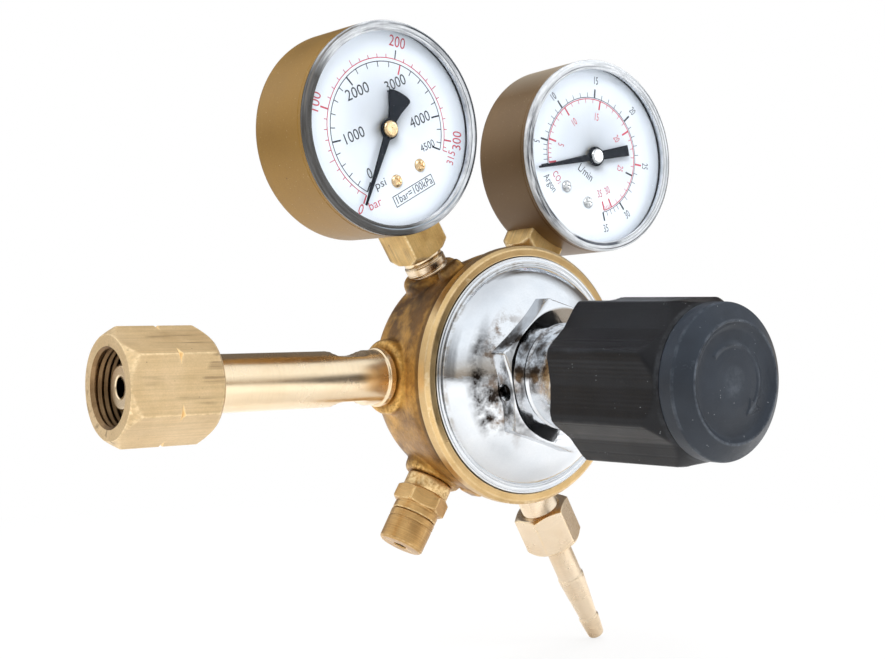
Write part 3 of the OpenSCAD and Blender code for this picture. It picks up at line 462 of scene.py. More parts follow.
def forgeSkinAndShade(tree, where, colour):
    # forging skin: dark brown patches, heavier on the upper side, golden where rubbed; painted shadow in the
    # neck below the ring and painted shade where the contents port meets the body
    _, turn, along = polar(tree, where)
    upper = turnWindow(tree, turn, 105.0, 85.0, 1.5)
    patch = greyRamp(tree, noise(tree, where, 42.0, 4.0, 0.65, seed=31.0), 0.46, 0.56, 0.0, 0.95)
    patch = times(tree, patch, plus(tree, 0.25, times(tree, upper, 0.75)))
    colour = blend(tree, patch, colour, (0.115, 0.052, 0.013))
    gold = greyRamp(tree, noise(tree, where, 85.0, 5.0, 0.62, seed=37.0), 0.50, 0.70, 0.0, 0.75)
    colour = blend(tree, gold, colour, (0.90, 0.50, 0.12))
    # painted shadow in the neck under the ring
    shadow = window(tree, along, 17.6 * mm, 1.6 * mm, 1.6)
    colour = blend(tree, times(tree, shadow, 0.7), colour, (0.07, 0.035, 0.012))
    # painted shade where the contents port meets the body, broken up by cloud
    port = times(tree, turnWindow(tree, turn, 128.0, 22.0, 2.0),
        window(tree, along, 6.0 * mm, 12.0 * mm, 2.0))
    shadeBreakup = greyRamp(tree, noise(tree, where, 120.0, 3.0, 0.6, seed=41.0), 0.40, 0.56, 0.0, 0.85)
    return blend(tree, times(tree, port, shadeBreakup), colour, (0.045, 0.022, 0.009))


nutShape = {
    "apothem": 14.35, "rounding": 0.7, "corner": -3.6, "pitch": 1.814, "threadDepth": 0.85,
    "notchAt": 11.05, "notchRadius": 15.47, "notchSlope": 1.7,
}
finishes = {}
metalLooks = {
    "forged brass": {
        "metallic": 0.72,
        "dark": (0.19, 0.088, 0.018), "middle": (0.47, 0.235, 0.045), "light": (0.78, 0.44, 0.105),
        "blotchScale": 95.0, "grainScale": 1100.0, "grainDepth": 0.00016, "grainTint": 0.55,
        "rough": (0.30, 0.48), "wear": (0.90, 0.58, 0.20),
        "specks": {"scale": 800.0, "size": 0.22, "share": 0.54, "colour": (0.10, 0.055, 0.02),
            "depth": -0.00003},
        "marks": (forgeSkinAndShade,),
    },
    "ring brass": {
        "dark": (0.60, 0.395, 0.17), "middle": (0.73, 0.505, 0.24), "light": (0.83, 0.60, 0.31),
        "blotchScale": 90.0, "grainScale": 2600.0, "grainDepth": 0.000005, "grainTint": 0.16,
        "rough": (0.27, 0.40), "lineScale": 5200.0, "lineDepth": 0.000003, "lineTint": 0.22,
        "wear": (0.84, 0.66, 0.40),
    },
    "turned brass": {
        "dark": (0.80, 0.62, 0.42), "middle": (0.88, 0.72, 0.53), "light": (0.93, 0.79, 0.61),
        "blotchScale": 55.0, "grainScale": 2400.0, "grainDepth": 0.000003, "grainTint": 0.10,
        "rough": (0.22, 0.32), "lineScale": 3200.0, "lineDepth": 0.0000022, "lineTint": 0.14,
        "wear": (0.92, 0.74, 0.48),
    },
    "stem brass": {
        "dark": (0.84, 0.63, 0.40), "middle": (0.93, 0.745, 0.51), "light": (0.97, 0.81, 0.59),
        "blotchScale": 40.0, "grainScale": 2400.0, "grainDepth": 0.000002, "grainTint": 0.08,
        "rough": (0.20, 0.30), "lineScale": 2600.0, "lineDepth": 0.0000018, "lineTint": 0.12,
        "wear": (0.94, 0.76, 0.50),
        "marks": (boreShade(3.1, (0.028, 0.018, 0.010)),),
    },
    "nut brass": {
        "metallic": 0.55,
        "dark": (0.60, 0.42, 0.215), "middle": (0.71, 0.52, 0.285), "light": (0.80, 0.60, 0.355),
        "blotchScale": 70.0, "grainScale": 2200.0, "grainDepth": 0.000010, "grainTint": 0.18,
        "rough": (0.36, 0.48), "wear": (0.90, 0.70, 0.42),
        "specks": {"scale": 600.0, "size": 0.16, "share": 0.62, "colour": (0.40, 0.28, 0.16),
            "depth": -0.00001},
        "marks": (brushedAlong, notchGlow),
    },
    # a darker copy of brass: painted shade for the inside of the nut's bore
    "shaded bore brass": {
        "dark": (0.16, 0.095, 0.045), "middle": (0.27, 0.165, 0.08), "light": (0.38, 0.245, 0.125),
        "blotchScale": 150.0, "grainScale": 2200.0, "grainDepth": 0.000008, "grainTint": 0.3,
        "rough": (0.32, 0.46),
        "marks": (deepShade,),
    },
    "milled brass": {
        "metallic": 0.65,
        "dark": (0.50, 0.30, 0.095), "middle": (0.70, 0.46, 0.17), "light": (0.86, 0.62, 0.28),
        "blotchScale": 120.0, "grainScale": 2000.0, "grainDepth": 0.00001, "grainTint": 0.25,
        "rough": (0.28, 0.42), "wear": (0.90, 0.72, 0.42),
        "specks": {"scale": 420.0, "size": 0.20, "share": 0.56, "colour": (0.22, 0.13, 0.05),
            "depth": -0.00003},
        "marks": (brushedAlong,),
    },
    "relief brass": {
        "metallic": 0.85,
        "dark": (0.44, 0.245, 0.085), "middle": (0.60, 0.36, 0.135), "light": (0.77, 0.50, 0.21),
        "blotchScale": 90.0, "grainScale": 2200.0, "grainDepth": 0.00001, "grainTint": 0.2,
        "rough": (0.27, 0.42), "lineScale": 2600.0, "lineDepth": 0.000007, "lineTint": 0.35,
        "wear": (0.84, 0.62, 0.32),
    },
    "screw brass": {
        "dark": (0.62, 0.40, 0.20), "middle": (0.78, 0.55, 0.30), "light": (0.86, 0.66, 0.42),
        "blotchScale": 400.0, "grainScale": 4000.0, "grainDepth": 0.00001, "grainTint": 0.15,
        "rough": (0.22, 0.34), "lineScale": 9000.0, "lineDepth": 0.000004, "lineTint": 0.2,
    },
    "screw nickel": {
        "dark": (0.50, 0.50, 0.49), "middle": (0.66, 0.66, 0.65), "light": (0.80, 0.80, 0.79),
        "blotchScale": 400.0, "grainScale": 4000.0, "grainDepth": 0.00001, "grainTint": 0.15,
        "rough": (0.2, 0.34), "lineScale": 9000.0, "lineDepth": 0.000004, "lineTint": 0.2,
    },
    "tube bronze": {
        "dark": (0.44, 0.27, 0.13), "middle": (0.56, 0.36, 0.18), "light": (0.66, 0.45, 0.24),
        "blotchScale": 150.0, "grainScale": 2600.0, "grainDepth": 0.00001, "grainTint": 0.2,
        "rough": (0.28, 0.42),
    },
    "plate brass": {
        "dark": (0.58, 0.42, 0.18), "middle": (0.68, 0.50, 0.23), "light": (0.76, 0.58, 0.30),
        "blotchScale": 200.0, "grainScale": 3200.0, "grainDepth": 0.00001, "grainTint": 0.2,
        "rough": (0.25, 0.38),
    },
    "sintered bronze": {
        "dark": (0.32, 0.19, 0.09), "middle": (0.45, 0.29, 0.15), "light": (0.58, 0.40, 0.22),
        "blotchScale": 900.0, "grainScale": 3500.0, "grainDepth": 0.0002, "grainTint": 0.5,
        "rough": (0.5, 0.7),
    },
    "spring steel": {
        "dark": (0.22, 0.225, 0.24), "middle": (0.33, 0.335, 0.35), "light": (0.46, 0.465, 0.48),
        "blotchScale": 200.0, "grainScale": 3000.0, "grainDepth": 0.00001, "grainTint": 0.25,
        "rough": (0.25, 0.4),
    },
    "zinc steel": {
        "dark": (0.48, 0.49, 0.50), "middle": (0.58, 0.59, 0.60), "light": (0.68, 0.68, 0.67),
        "blotchScale": 260.0, "grainScale": 2600.0, "grainDepth": 0.00001, "grainTint": 0.2,
        "rough": (0.28, 0.44),
    },
    "turned aluminium": {
        "dark": (0.60, 0.61, 0.62), "middle": (0.70, 0.71, 0.72), "light": (0.78, 0.79, 0.80),
        "blotchScale": 160.0, "grainScale": 2600.0, "grainDepth": 0.00001, "grainTint": 0.15,
        "rough": (0.28, 0.4),
    },
}
for lookName, look in metalLooks.items():
    finishes[lookName] = metalFinish(lookName, look)


def casePaintedLight(tree, where, colour):
    # painted reflection towards the top of the case and painted shadow underneath, where the body keeps the
    # light off
    radius, turn, _ = polar(tree, where)
    side = greyRamp(tree, divided(tree, radius, 40.0 * mm), 0.70, 0.78)
    top = times(tree, turnWindow(tree, turn, 118.0, 52.0, 1.2), times(tree, side, 0.9))
    under = times(tree, turnWindow(tree, turn, 235.0, 55.0, 1.3), times(tree, side, 0.55))
    colour = blend(tree, top, colour, (0.70, 0.62, 0.50))
    return blend(tree, under, colour, (0.10, 0.057, 0.022))


def lacquerFinish(name, look):
    # satin lacquer over brass with fine sparkle, with the painted shade and light that the look's marks add
    finish, tree, surface = newTree(name)
    where = place3(tree)
    cloud = noise(tree, where, 45.0, 3.0, 0.5)
    colour = ramp(tree, cloud, [(0.3, look["dark"]), (0.7, look["light"])])
    fleck = wire(tree, "ShaderNodeTexVoronoi", {"Vector": where, "Scale": 1500.0}, feature="F1")
    sparkle = greyRamp(tree, fleck.outputs["Distance"], 0.10, 0.2, 1.0, 0.0)
    few = greyRamp(tree, noise(tree, where, 700.0, 1.0, 0.5, seed=2.0), 0.58, 0.62)
    sparkle = times(tree, sparkle, few)
    colour = blend(tree, times(tree, sparkle, 0.75), colour, look["sparkle"])
    fine = noise(tree, where, 2600.0, 2.0, 0.6, seed=4.0)
    colour = blend(tree, 0.22, colour, greyRamp(tree, fine, 0.35, 0.65, 0.45, 1.0), "MULTIPLY")
    for extra in look["marks"]:
        colour = extra(tree, where, colour)
    tree.links.new(colour, surface.inputs["Base Color"])
    rough = greyRamp(tree, cloud, 0.3, 0.7, look["rough"][0], look["rough"][1])
    tree.links.new(rough, surface.inputs["Roughness"])
    surface.inputs["Metallic"].default_value = look["metallic"]
    surface.inputs["Coat Weight"].default_value = 0.03
    surface.inputs["Coat Roughness"].default_value = 0.3
    bump = wire(tree, "ShaderNodeBump", {"Height": plus(tree, times(tree, fine, 0.00001),
            times(tree, cloud, 0.0002)), "Strength": 1.0, "Distance": 1.0})
    tree.links.new(bump.outputs[0], surface.inputs["Normal"])
    return finish


finishes["contents case"] = lacquerFinish("contents case", {
    "dark": (0.295, 0.165, 0.036), "light": (0.36, 0.205, 0.048), "sparkle": (0.85, 0.68, 0.38),
    "rough": (0.38, 0.48), "metallic": 0.6,
    # painted shade in a small hole in the case's side
    "marks": (holeShadeSpot((-31.0, 2.0, 2.5), 0.55, (0.03, 0.02, 0.01)),),
})
finishes["flow case"] = lacquerFinish("flow case", {
    "dark": (0.170, 0.105, 0.050), "light": (0.215, 0.135, 0.066), "sparkle": (0.60, 0.48, 0.32),
    "rough": (0.36, 0.46), "metallic": 0.6,
    # painted reflection on the top of the case and painted shadow underneath
    "marks": (casePaintedLight,),
})


def chromeFinish(name, marks=()):
    # bright plate with a faint orange-peel and hazy smudges; the marks add tarnish, painted shade and painted
    # reflections
    finish, tree, surface = newTree(name)
    where = place3(tree)
    haze = noise(tree, where, 60.0, 4.0, 0.6)
    colour = ramp(tree, haze, [(0.3, (0.66, 0.695, 0.735)), (0.55, (0.735, 0.76, 0.79)),
            (0.75, (0.79, 0.805, 0.825))])
    fine = noise(tree, where, 1800.0, 2.0, 0.6, seed=1.0)
    colour = blend(tree, 0.08, colour, greyRamp(tree, fine, 0.3, 0.7, 0.4, 1.0), "MULTIPLY")
    for extra in marks:
        colour = extra(tree, where, colour)
    tree.links.new(colour, surface.inputs["Base Color"])
    rough = greyRamp(tree, noise(tree, where, 90.0, 3.0, 0.6, seed=6.0), 0.35, 0.7, 0.06, 0.15)
    tree.links.new(rough, surface.inputs["Roughness"])
    surface.inputs["Metallic"].default_value = 1.0
    height = plus(tree, times(tree, noise(tree, where, 320.0, 2.0, 0.5, seed=9.0), 0.00004),
        times(tree, fine, 0.000004))
    addBump(tree, surface, height)
    return finish


# painted shade inside the vent hole in the hexagon's side
ventHoleShade = holeShadeSpot((16.2 * math.cos(math.radians(191.7)), 16.2 * math.sin(math.radians(191.7)), 36.0), 2.9,
    (0.020, 0.014, 0.010))
finishes["chrome"] = chromeFinish("chrome plate", (
    # dome: brown tarnish and painted shadow beside the hexagon's left side, tarnish and painted shade in the
    # rim's grooves, near-black painted shade on the left
    tarnishShadeAndReflection(180.0, 62.0, (19.0, 27.0), (29.0, 36.0), (0.16, 0.10, 0.055), 0.85, 3.0, 210.0),
    tarnishShadeAndReflection(150.0, 75.0, (33.2, 35.2), (22.0, 27.0), (0.30, 0.25, 0.19), 0.6, 8.0, 300.0),
    tarnishShadeAndReflection(186.0, 42.0, (18.0, 30.0), (25.0, 38.0), (0.022, 0.017, 0.014), 1.0, 21.0, 120.0),
))
finishes["hexagon chrome"] = chromeFinish("hexagon chrome", (
    # near-black painted shadow on the hexagon's left side, and painted shade in its vent hole
    tarnishShadeAndReflection(180.0, 60.0, (15.0, 27.0), (30.0, 43.0), (0.030, 0.024, 0.020), 1.0, 5.0, 75.0),
    ventHoleShade,
))
finishes["neck chrome"] = chromeFinish("neck chrome", (
    # a broad tan band of tarnish and painted reflection of the brass on top, near-black and dark painted
    # shade on the upper left, and a narrow golden painted reflection down the left side
    tarnishShadeAndReflection(100.0, 130.0, (13.0, 17.0), (41.0, 68.0), (0.27, 0.19, 0.12), 0.85, 2.0, 130.0),
    tarnishShadeAndReflection(128.0, 46.0, (12.0, 18.0), (34.0, 74.0), (0.022, 0.016, 0.012), 1.0, 12.0, 90.0),
    tarnishShadeAndReflection(150.0, 60.0, (12.0, 18.0), (34.0, 74.0), (0.06, 0.042, 0.030), 1.0, 33.0, 240.0),
    tarnishShadeAndReflection(187.0, 13.0, (13.0, 17.0), (40.0, 66.0), (0.50, 0.33, 0.19), 0.8, 19.0, 110.0),
))


def plasticFinish(name, look):
    # satin moulded plastic with scuffs, dust specks and rubbed edges
    finish, tree, surface = newTree(name)
    where = place3(tree)
    cloud = noise(tree, where, 60.0, 3.0, 0.6)
    colour = ramp(tree, cloud, [(0.3, look["dark"]), (0.7, look["light"])])
    scuff = noise(tree, where, 260.0, 5.0, 0.75, stretch=(1.0, 1.0, 0.35), seed=4.0)
    scuffMask = greyRamp(tree, scuff, 0.62, 0.72, 0.0, 0.5)
    colour = blend(tree, scuffMask, colour, look["scuff"])
    dust = wire(tree, "ShaderNodeTexVoronoi", {"Vector": where, "Scale": 900.0}, feature="F1")
    dustMask = times(tree, greyRamp(tree, dust.outputs["Distance"], 0.07, 0.13, 1.0, 0.0),
        greyRamp(tree, noise(tree, where, 300.0, 1.0, 0.5, seed=8.0), 0.60, 0.66, 0.0, 0.8))
    colour = blend(tree, dustMask, colour, (0.42, 0.44, 0.47))
    broken = greyRamp(tree, noise(tree, where, 210.0, 5.0, 0.75, seed=5.0), 0.42, 0.68)
    radius, _, along = polar(tree, where)
    for lowRadius, highRadius, lowAlong, highAlong, rub in look["rubbed"]:
        ring = window(tree, radius, (lowRadius + highRadius) / 2 * mm, (highRadius - lowRadius) / 2 * mm,
            2.0)
        ring = times(tree, ring, window(tree, along, (lowAlong + highAlong) / 2 * mm,
                (highAlong - lowAlong) / 2 * mm, 2.0))
        colour = blend(tree, times(tree, ring, times(tree, broken, rub)), colour, look["edge"])
    tree.links.new(colour, surface.inputs["Base Color"])
    rough = greyRamp(tree, noise(tree, where, 120.0, 3.0, 0.6, seed=6.0), 0.3, 0.7, look["rough"][0],
        look["rough"][1])
    tree.links.new(rough, surface.inputs["Roughness"])
    surface.inputs["Specular IOR Level"].default_value = look["shine"]
    height = times(tree, noise(tree, where, 1900.0, 3.0, 0.6, seed=2.0), 0.00005)
    addBump(tree, surface, height)
    return finish


finishes["knob plastic"] = plasticFinish("knob plastic", {
    "dark": (0.0040, 0.0041, 0.0051), "light": (0.0078, 0.0083, 0.0103),
    "scuff": (0.032, 0.034, 0.040), "edge": (0.10, 0.11, 0.125), "rough": (0.30, 0.42), "shine": 0.22,
    "rubbed": [(24.2, 25.8, 57.0, 95.0, 0.25), (20.2, 21.9, 96.0, 98.2, 0.25)],
})
finishes["cap plastic"] = plasticFinish("cap plastic", {
    "dark": (0.0085, 0.0125, 0.0195), "light": (0.0185, 0.0255, 0.0370),
    "scuff": (0.050, 0.060, 0.076), "edge": (0.15, 0.175, 0.21), "rough": (0.36, 0.52), "shine": 0.36,
    "rubbed": [(15.8, 16.8, 105.2, 106.2, 0.5), (20.8, 21.6, 101.6, 103.0, 0.3),
        (9.3, 10.9, 104.9, 105.6, 0.5), (-4.0, 5.0, 104.0, 105.6, 0.25)],
})


def softFinish(name, look):
    # rubber, enamel, ink: one base with cloud, grain and a fine surface
    finish, tree, surface = newTree(name)
    where = place3(tree)
    cloud = noise(tree, where, look["scale"], 3.0, 0.55)
    grain = noise(tree, where, look["grainScale"], 2.0, 0.6, seed=3.0)
    colour = ramp(tree, cloud, [(0.3, look["dark"]), (0.7, look["light"])])
    colour = blend(tree, look["grainTint"], colour, greyRamp(tree, grain, 0.3, 0.7, 0.3, 1.0), "MULTIPLY")
    tree.links.new(colour, surface.inputs["Base Color"])
    rough = greyRamp(tree, grain, 0.3, 0.7, look["rough"][0], look["rough"][1])
    tree.links.new(rough, surface.inputs["Roughness"])
    surface.inputs["Specular IOR Level"].default_value = look.get("shine", 0.5)
    bump = wire(tree, "ShaderNodeBump", {"Height": times(tree, grain, look["depth"]), "Strength": 1.0,
            "Distance": 1.0})
    tree.links.new(bump.outputs[0], surface.inputs["Normal"])
    return finish


softLooks = {
    "rubber": {"dark": (0.012, 0.012, 0.013), "light": (0.022, 0.022, 0.024), "scale": 200.0,
        "grainScale": 3000.0, "grainTint": 0.3, "rough": (0.6, 0.8), "depth": 0.00004},
    "dial enamel": {"dark": (0.74, 0.785, 0.825), "light": (0.80, 0.835, 0.865), "scale": 30.0,
        "grainScale": 2500.0, "grainTint": 0.03, "rough": (0.42, 0.52), "depth": 0.000004},
    "black ink": {"dark": (0.016, 0.019, 0.024), "light": (0.034, 0.038, 0.045), "scale": 400.0,
        "grainScale": 4000.0, "grainTint": 0.25, "rough": (0.5, 0.65), "depth": 0.000004},
    "red ink": {"dark": (0.52, 0.055, 0.085), "light": (0.64, 0.10, 0.13), "scale": 400.0,
        "grainScale": 4000.0, "grainTint": 0.15, "rough": (0.5, 0.65), "depth": 0.000004},
    "pointer enamel": {"dark": (0.012, 0.014, 0.018), "light": (0.020, 0.023, 0.028), "scale": 260.0,
        "grainScale": 3500.0, "grainTint": 0.2, "rough": (0.45, 0.6), "depth": 0.00001, "shine": 0.12},
}
for lookName, look in softLooks.items():
    finishes[lookName] = softFinish(lookName, look)


def paneFinish(name):
    # clear pane that lets lamp light through to the dial
    finish, tree, surface = newTree(name)
    where = place3(tree)
    haze = noise(tree, where, 120.0, 3.0, 0.6)
    surface.inputs["Base Color"].default_value = (0.95, 0.97, 1.0, 1.0)
    tree.links.new(ramp(tree, haze, [(0.3, (0.93, 0.955, 0.985)), (0.7, (0.97, 0.985, 1.0))]),
        surface.inputs["Base Color"])
    tree.links.new(greyRamp(tree, haze, 0.3, 0.7, 0.02, 0.06), surface.inputs["Roughness"])
    surface.inputs["Transmission Weight"].default_value = 1.0
    surface.inputs["IOR"].default_value = 1.02
    rays = wire(tree, "ShaderNodeLightPath")
    passing = maths(tree, "MAXIMUM", rays.outputs["Is Shadow Ray"], rays.outputs["Is Diffuse Ray"])
    clear = wire(tree, "ShaderNodeBsdfTransparent", {"Color": (0.97, 0.98, 1.0, 1.0)})
    mix = wire(tree, "ShaderNodeMixShader", {0: passing, 1: surface.outputs[0], 2: clear.outputs[0]})
    out = tree.nodes["Material Output"]
    tree.links.new(mix.outputs[0], out.inputs["Surface"])
    return finish


finishes["lens pane"] = paneFinish("lens pane")


def rimFinish(name, look):
    # the thick clear rim of a lens, drawn opaque: milky grey with painted reflections in streaks that run
    # round it and in arcs
    finish, tree, surface = newTree(name)
    where = place3(tree)
    radius, turn, _ = polar(tree, where)
    swirl = wire(tree, "ShaderNodeCombineXYZ", {0: times(tree, radius, 900.0),
            1: times(tree, maths(tree, "COSINE", turn), 2.2),
            2: times(tree, maths(tree, "SINE", turn), 2.2)})
    streaks = wire(tree, "ShaderNodeTexNoise", {"Vector": swirl.outputs[0], "Scale": 1.6, "Detail": 3.0,
            "Roughness": 0.6})
    colour = ramp(tree, streaks.outputs["Fac"], look["streaks"])
    fine = noise(tree, where, 700.0, 3.0, 0.6, seed=2.0)
    colour = blend(tree, 0.25, colour, greyRamp(tree, fine, 0.3, 0.7, 0.5, 1.0), "MULTIPLY")
    # dark and pale painted reflection arcs
    for middleDeg, halfDeg, low, high, tint, broken in look["reflectionArcs"]:
        spread = turnWindow(tree, turn, middleDeg, halfDeg, 4.0)
        band = window(tree, radius, (low + high) / 2 * mm, (high - low) / 2 * mm, 3.0)
        ragged = greyRamp(tree, streaks.outputs["Fac"], 0.40, 0.40 + 0.30 / max(broken, 0.3), 1.0,
            1.0 - broken)
        colour = blend(tree, times(tree, times(tree, spread, band), ragged), colour, tint)
    tree.links.new(colour, surface.inputs["Base Color"])
    tree.links.new(greyRamp(tree, fine, 0.3, 0.7, 0.07, 0.16), surface.inputs["Roughness"])
    surface.inputs["Specular IOR Level"].default_value = 0.5
    surface.inputs["Coat Weight"].default_value = 0.25
    surface.inputs["Coat Roughness"].default_value = 0.06
    bump = wire(tree, "ShaderNodeBump", {"Height": times(tree, streaks.outputs["Fac"], 0.0001),
            "Strength": 1.0, "Distance": 1.0})
    tree.links.new(bump.outputs[0], surface.inputs["Normal"])
    return finish


finishes["contents rim"] = rimFinish("contents rim", {
    # the streak tones and arcs are painted reflections in the clear rim
    "streaks": [(0.30, (0.24, 0.255, 0.275)), (0.44, (0.44, 0.46, 0.49)), (0.58, (0.60, 0.63, 0.66)),
        (0.72, (0.76, 0.79, 0.83))],
    # middle and half width of each painted reflection arc in degrees, radii, tone, how broken up it is
    "reflectionArcs": [
        (186.0, 84.0, 27.0, 32.4, (0.040, 0.039, 0.038), 0.12),
        (-8.0, 72.0, 30.15, 30.95, (0.012, 0.018, 0.026), 0.0),
        (-5.0, 60.0, 28.95, 29.35, (0.10, 0.12, 0.14), 0.0),
        (112.0, 34.0, 30.6, 31.2, (0.10, 0.09, 0.08), 0.3),
        (-100.0, 40.0, 29.2, 29.6, (0.20, 0.24, 0.28), 0.3),
    ],
})
finishes["flow rim"] = rimFinish("flow rim", {
    # the streak tones and arcs are painted reflections in the clear rim
    "streaks": [(0.28, (0.36, 0.38, 0.41)), (0.42, (0.52, 0.55, 0.58)), (0.58, (0.66, 0.69, 0.73)),
        (0.72, (0.80, 0.83, 0.87))],
    "reflectionArcs": [
        (8.0, 84.0, 30.3, 30.75, (0.10, 0.105, 0.11), 0.0),
        (8.0, 84.0, 29.4, 29.7, (0.30, 0.32, 0.34), 0.0),
        (8.0, 84.0, 28.45, 28.75, (0.26, 0.28, 0.30), 0.0),
        (222.0, 46.0, 28.3, 31.5, (0.050, 0.055, 0.065), 1.0),
        (148.0, 34.0, 28.9, 29.3, (0.22, 0.23, 0.25), 0.4),
        (-66.0, 22.0, 28.6, 29.6, (0.03, 0.04, 0.06), 0.4),
    ],
})
print("finishes made:", len(finishes))


bodyShape = {
    "outline": [
        (36.5, 20.6), (38.0, 20.6), (38.6, 18.7, 0.5), (38.6, 13.2, 1.5), (36.5, 3.0, 6.0),
        (34.8, -8.0, 4.0),
        (32.4, -12.6, 3.0), (27.6, -15.2, 3.0), (21.8, -16.0, 2.0), (0.0, -16.0),
    ],
    "inside": [(0.0, 8.2), (30.0, 8.2), (30.0, 13.6), (36.5, 13.6)],
    "voxel": 0.55,
    "rounds": 7,
}


def solidAt(profile, place, around=96):
    mesh = turnedMesh("part", roundProfile(profile, 4), around=around)
    mesh.transform(place)
    return mesh


def boxAt(size, centre, place):
    mesh = bpy.data.meshes.new("block")
    bm = bmesh.new()
    bmesh.ops.create_cube(bm, size=1.0)
    bmesh.ops.scale(bm, vec=[v * mm for v in size], verts=bm.verts)
    bmesh.ops.translate(bm, vec=[v * mm for v in centre], verts=bm.verts)
    bmesh.ops.bevel(bm, geom=bm.edges[:], offset=0.9 * mm, segments=3, affect="EDGES")
    bm.to_mesh(mesh)
    bm.free()
    mesh.transform(place)
    return mesh


def joinMeshes(name, meshes):
    bm = bmesh.new()
    for m in meshes:
        bm.from_mesh(m)
    mesh = bpy.data.meshes.new(name)
    bm.to_mesh(mesh)
    bm.free()
    return mesh


def forgedBody():
    hollow = [(r, z) for r, z in bodyShape["inside"]]
    shell = turnedMesh("shell", hollow + roundProfile(bodyShape["outline"], 5), around=160)
    shell.transform(bodyPlace)
    parts = [shell]
    # inlet boss, standing a little out of the shell
    parts.append(solidAt([(0, 88.6), (11.5, 88.6), (11.9, 92.4, 1.0), (12.6, 97.0), (0, 97.0)], stemPlace))
    parts.append(solidAt([(0, 85.45), (10.4, 85.45, 0.6), (11.5, 86.4, 0.6), (11.5, 90.0), (0, 90.0)],
            stemPlace))
    for angle in (layout["contentsAngle"], layout["flowAngle"], layout["reliefAngle"]):
        parts.append(solidAt([(0, 30.6), (9.6, 30.6), (9.3, 37.0, 0.6), (8.6, 38.3, 0.5), (7.6, 38.6, 0.2),
                (0, 38.6)], portPlace(angle)))
    parts.append(solidAt([(0, 30.6), (9.3, 30.6), (9.2, 37.0, 0.5), (8.6, 37.6, 0.3), (0, 37.6)],
            portPlace(layout["outletAngle"])))
    # the lug beside the contents port and the pad under the inlet
    lug = portPlace(124.0) @ Matrix.Translation((-0.3 * mm, -13.2 * mm,
            38.8 * mm)) @ Matrix.Rotation(math.radians(90), 4, "Y")
    parts.append(solidAt([(0, -4.2), (1.7, -4.2, 0.5), (2.3, -3.6, 0.5), (2.3, 3.6, 0.5), (1.7, 4.2, 0.5),
            (0, 4.2)], lug, 40))
    parts.append(boxAt((7, 7, 12), (-3, -12, 33), portPlace(244.0)))
    mesh = joinMeshes("bodyForging", parts)
    piece = bpy.data.objects.new("bodyForging", mesh)
    bpy.context.scene.collection.objects.link(piece)
    remesh = piece.modifiers.new("remesh", "REMESH")
    remesh.mode = "VOXEL"
    remesh.voxel_size = bodyShape["voxel"] * mm
    remesh.adaptivity = 0.0
    smooth = piece.modifiers.new("smooth", "SMOOTH")
    smooth.factor = 0.5
    smooth.iterations = bodyShape["rounds"]
    graph = bpy.context.evaluated_depsgraph_get()
    result = bpy.data.meshes.new_from_object(piece.evaluated_get(graph))
    piece.modifiers.clear()
    piece.data = result
    result.materials.clear()
    result.materials.append(placedFinish(finishes["forged brass"], bodyPlace))
    result.shade_smooth()
    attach(piece, "body")
    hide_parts("regulator_body")
    return piece


bodyForging = forgedBody()
bodyRing = turnedPiece("bodyRing", [
    (36.5, 18.3), (36.5, 23.9, 0.3), (38.7, 23.9, 0.35), (39.8, 22.8, 0.35), (39.8, 19.7, 0.3),
    (38.75, 18.85, 0.2), (38.1, 18.5),
], bodyPlace, "body", finishes["ring brass"], "forged_brass", around=220, loop=True)
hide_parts("regulator_body")
print("body forging done:", len(bodyForging.data.vertices), "points")


bonnetShape = {
    "dome": [
        (36.3, 14.6), (36.3, 24.3, 0.25), (35.85, 24.45, 0.2), (35.5, 24.2, 0.15), (35.15, 24.45, 0.2),
        (34.6, 24.55, 0.2), (34.2, 24.2, 0.2), (33.8, 24.4, 0.3),
        (33.2, 25.6, 1.6), (31.4, 28.0, 3.0), (29.2, 29.9, 3.0), (26.8, 31.4, 2.5), (20.6, 34.2, 1.0),
        (14.0, 34.6),
    ],
    "under": [(12.4, 32.1), (12.4, 26.0), (30.0, 20.6), (30.0, 14.6)],
    "hexFlat": 20.7,
    "hexTurn": 41.7,
    "hexFront": 40.0,
    "neckRadius": 15.3,
    "neckFront": 66.0,
    "vent": {"angle": 191.7, "radius": 2.4, "height": 36.0},
}
bonnetDome = finishPiece("bonnetDome", turnedMesh("bonnetDome",
        roundProfile(bonnetShape["dome"], 5) + bonnetShape["under"], around=220, loop=True), bodyPlace,
        "body", finishes["chrome"])
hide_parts("bonnet")
hexBar = {"count": 6, "apothem": bonnetShape["hexFlat"], "rounding": 1.0, "corner": bonnetShape["hexTurn"]}


def ventShape(t, r, z):
    # the hexagon's side, pressed in where the vent hole goes through
    vent = bonnetShape["vent"]
    rr = softMin(r, facetRadius(t, 6, hexBar["apothem"], hexBar["rounding"], hexBar["corner"]), 0.7)
    side = (t - math.radians(vent["angle"]) + math.pi) % (2 * math.pi) - math.pi
    if abs(side) > 0.6:
        return rr, z
    across = rr * math.sin(side)
    gap = math.hypot(across, z - vent["height"])
    if gap < vent["radius"] and rr > 19.0:
        drop = min(1.0, (vent["radius"] - gap) / 0.35)
        return rr - 5.0 * drop, z
    return rr, z


def hexAnglesWithVent():
    angles = facetAngles(6, hexBar["apothem"], hexBar["rounding"], hexBar["corner"], 16)
    centre = math.radians(bonnetShape["vent"]["angle"])
    reach = 3.3 / hexBar["apothem"]
    kept = [a for a in angles if abs((a - centre + math.pi) % (2 * math.pi) - math.pi) > reach]
    kept += [centre + reach * (2 * k / 36 - 1) for k in range(37)]
    return sorted(a % (2 * math.pi) for a in kept)


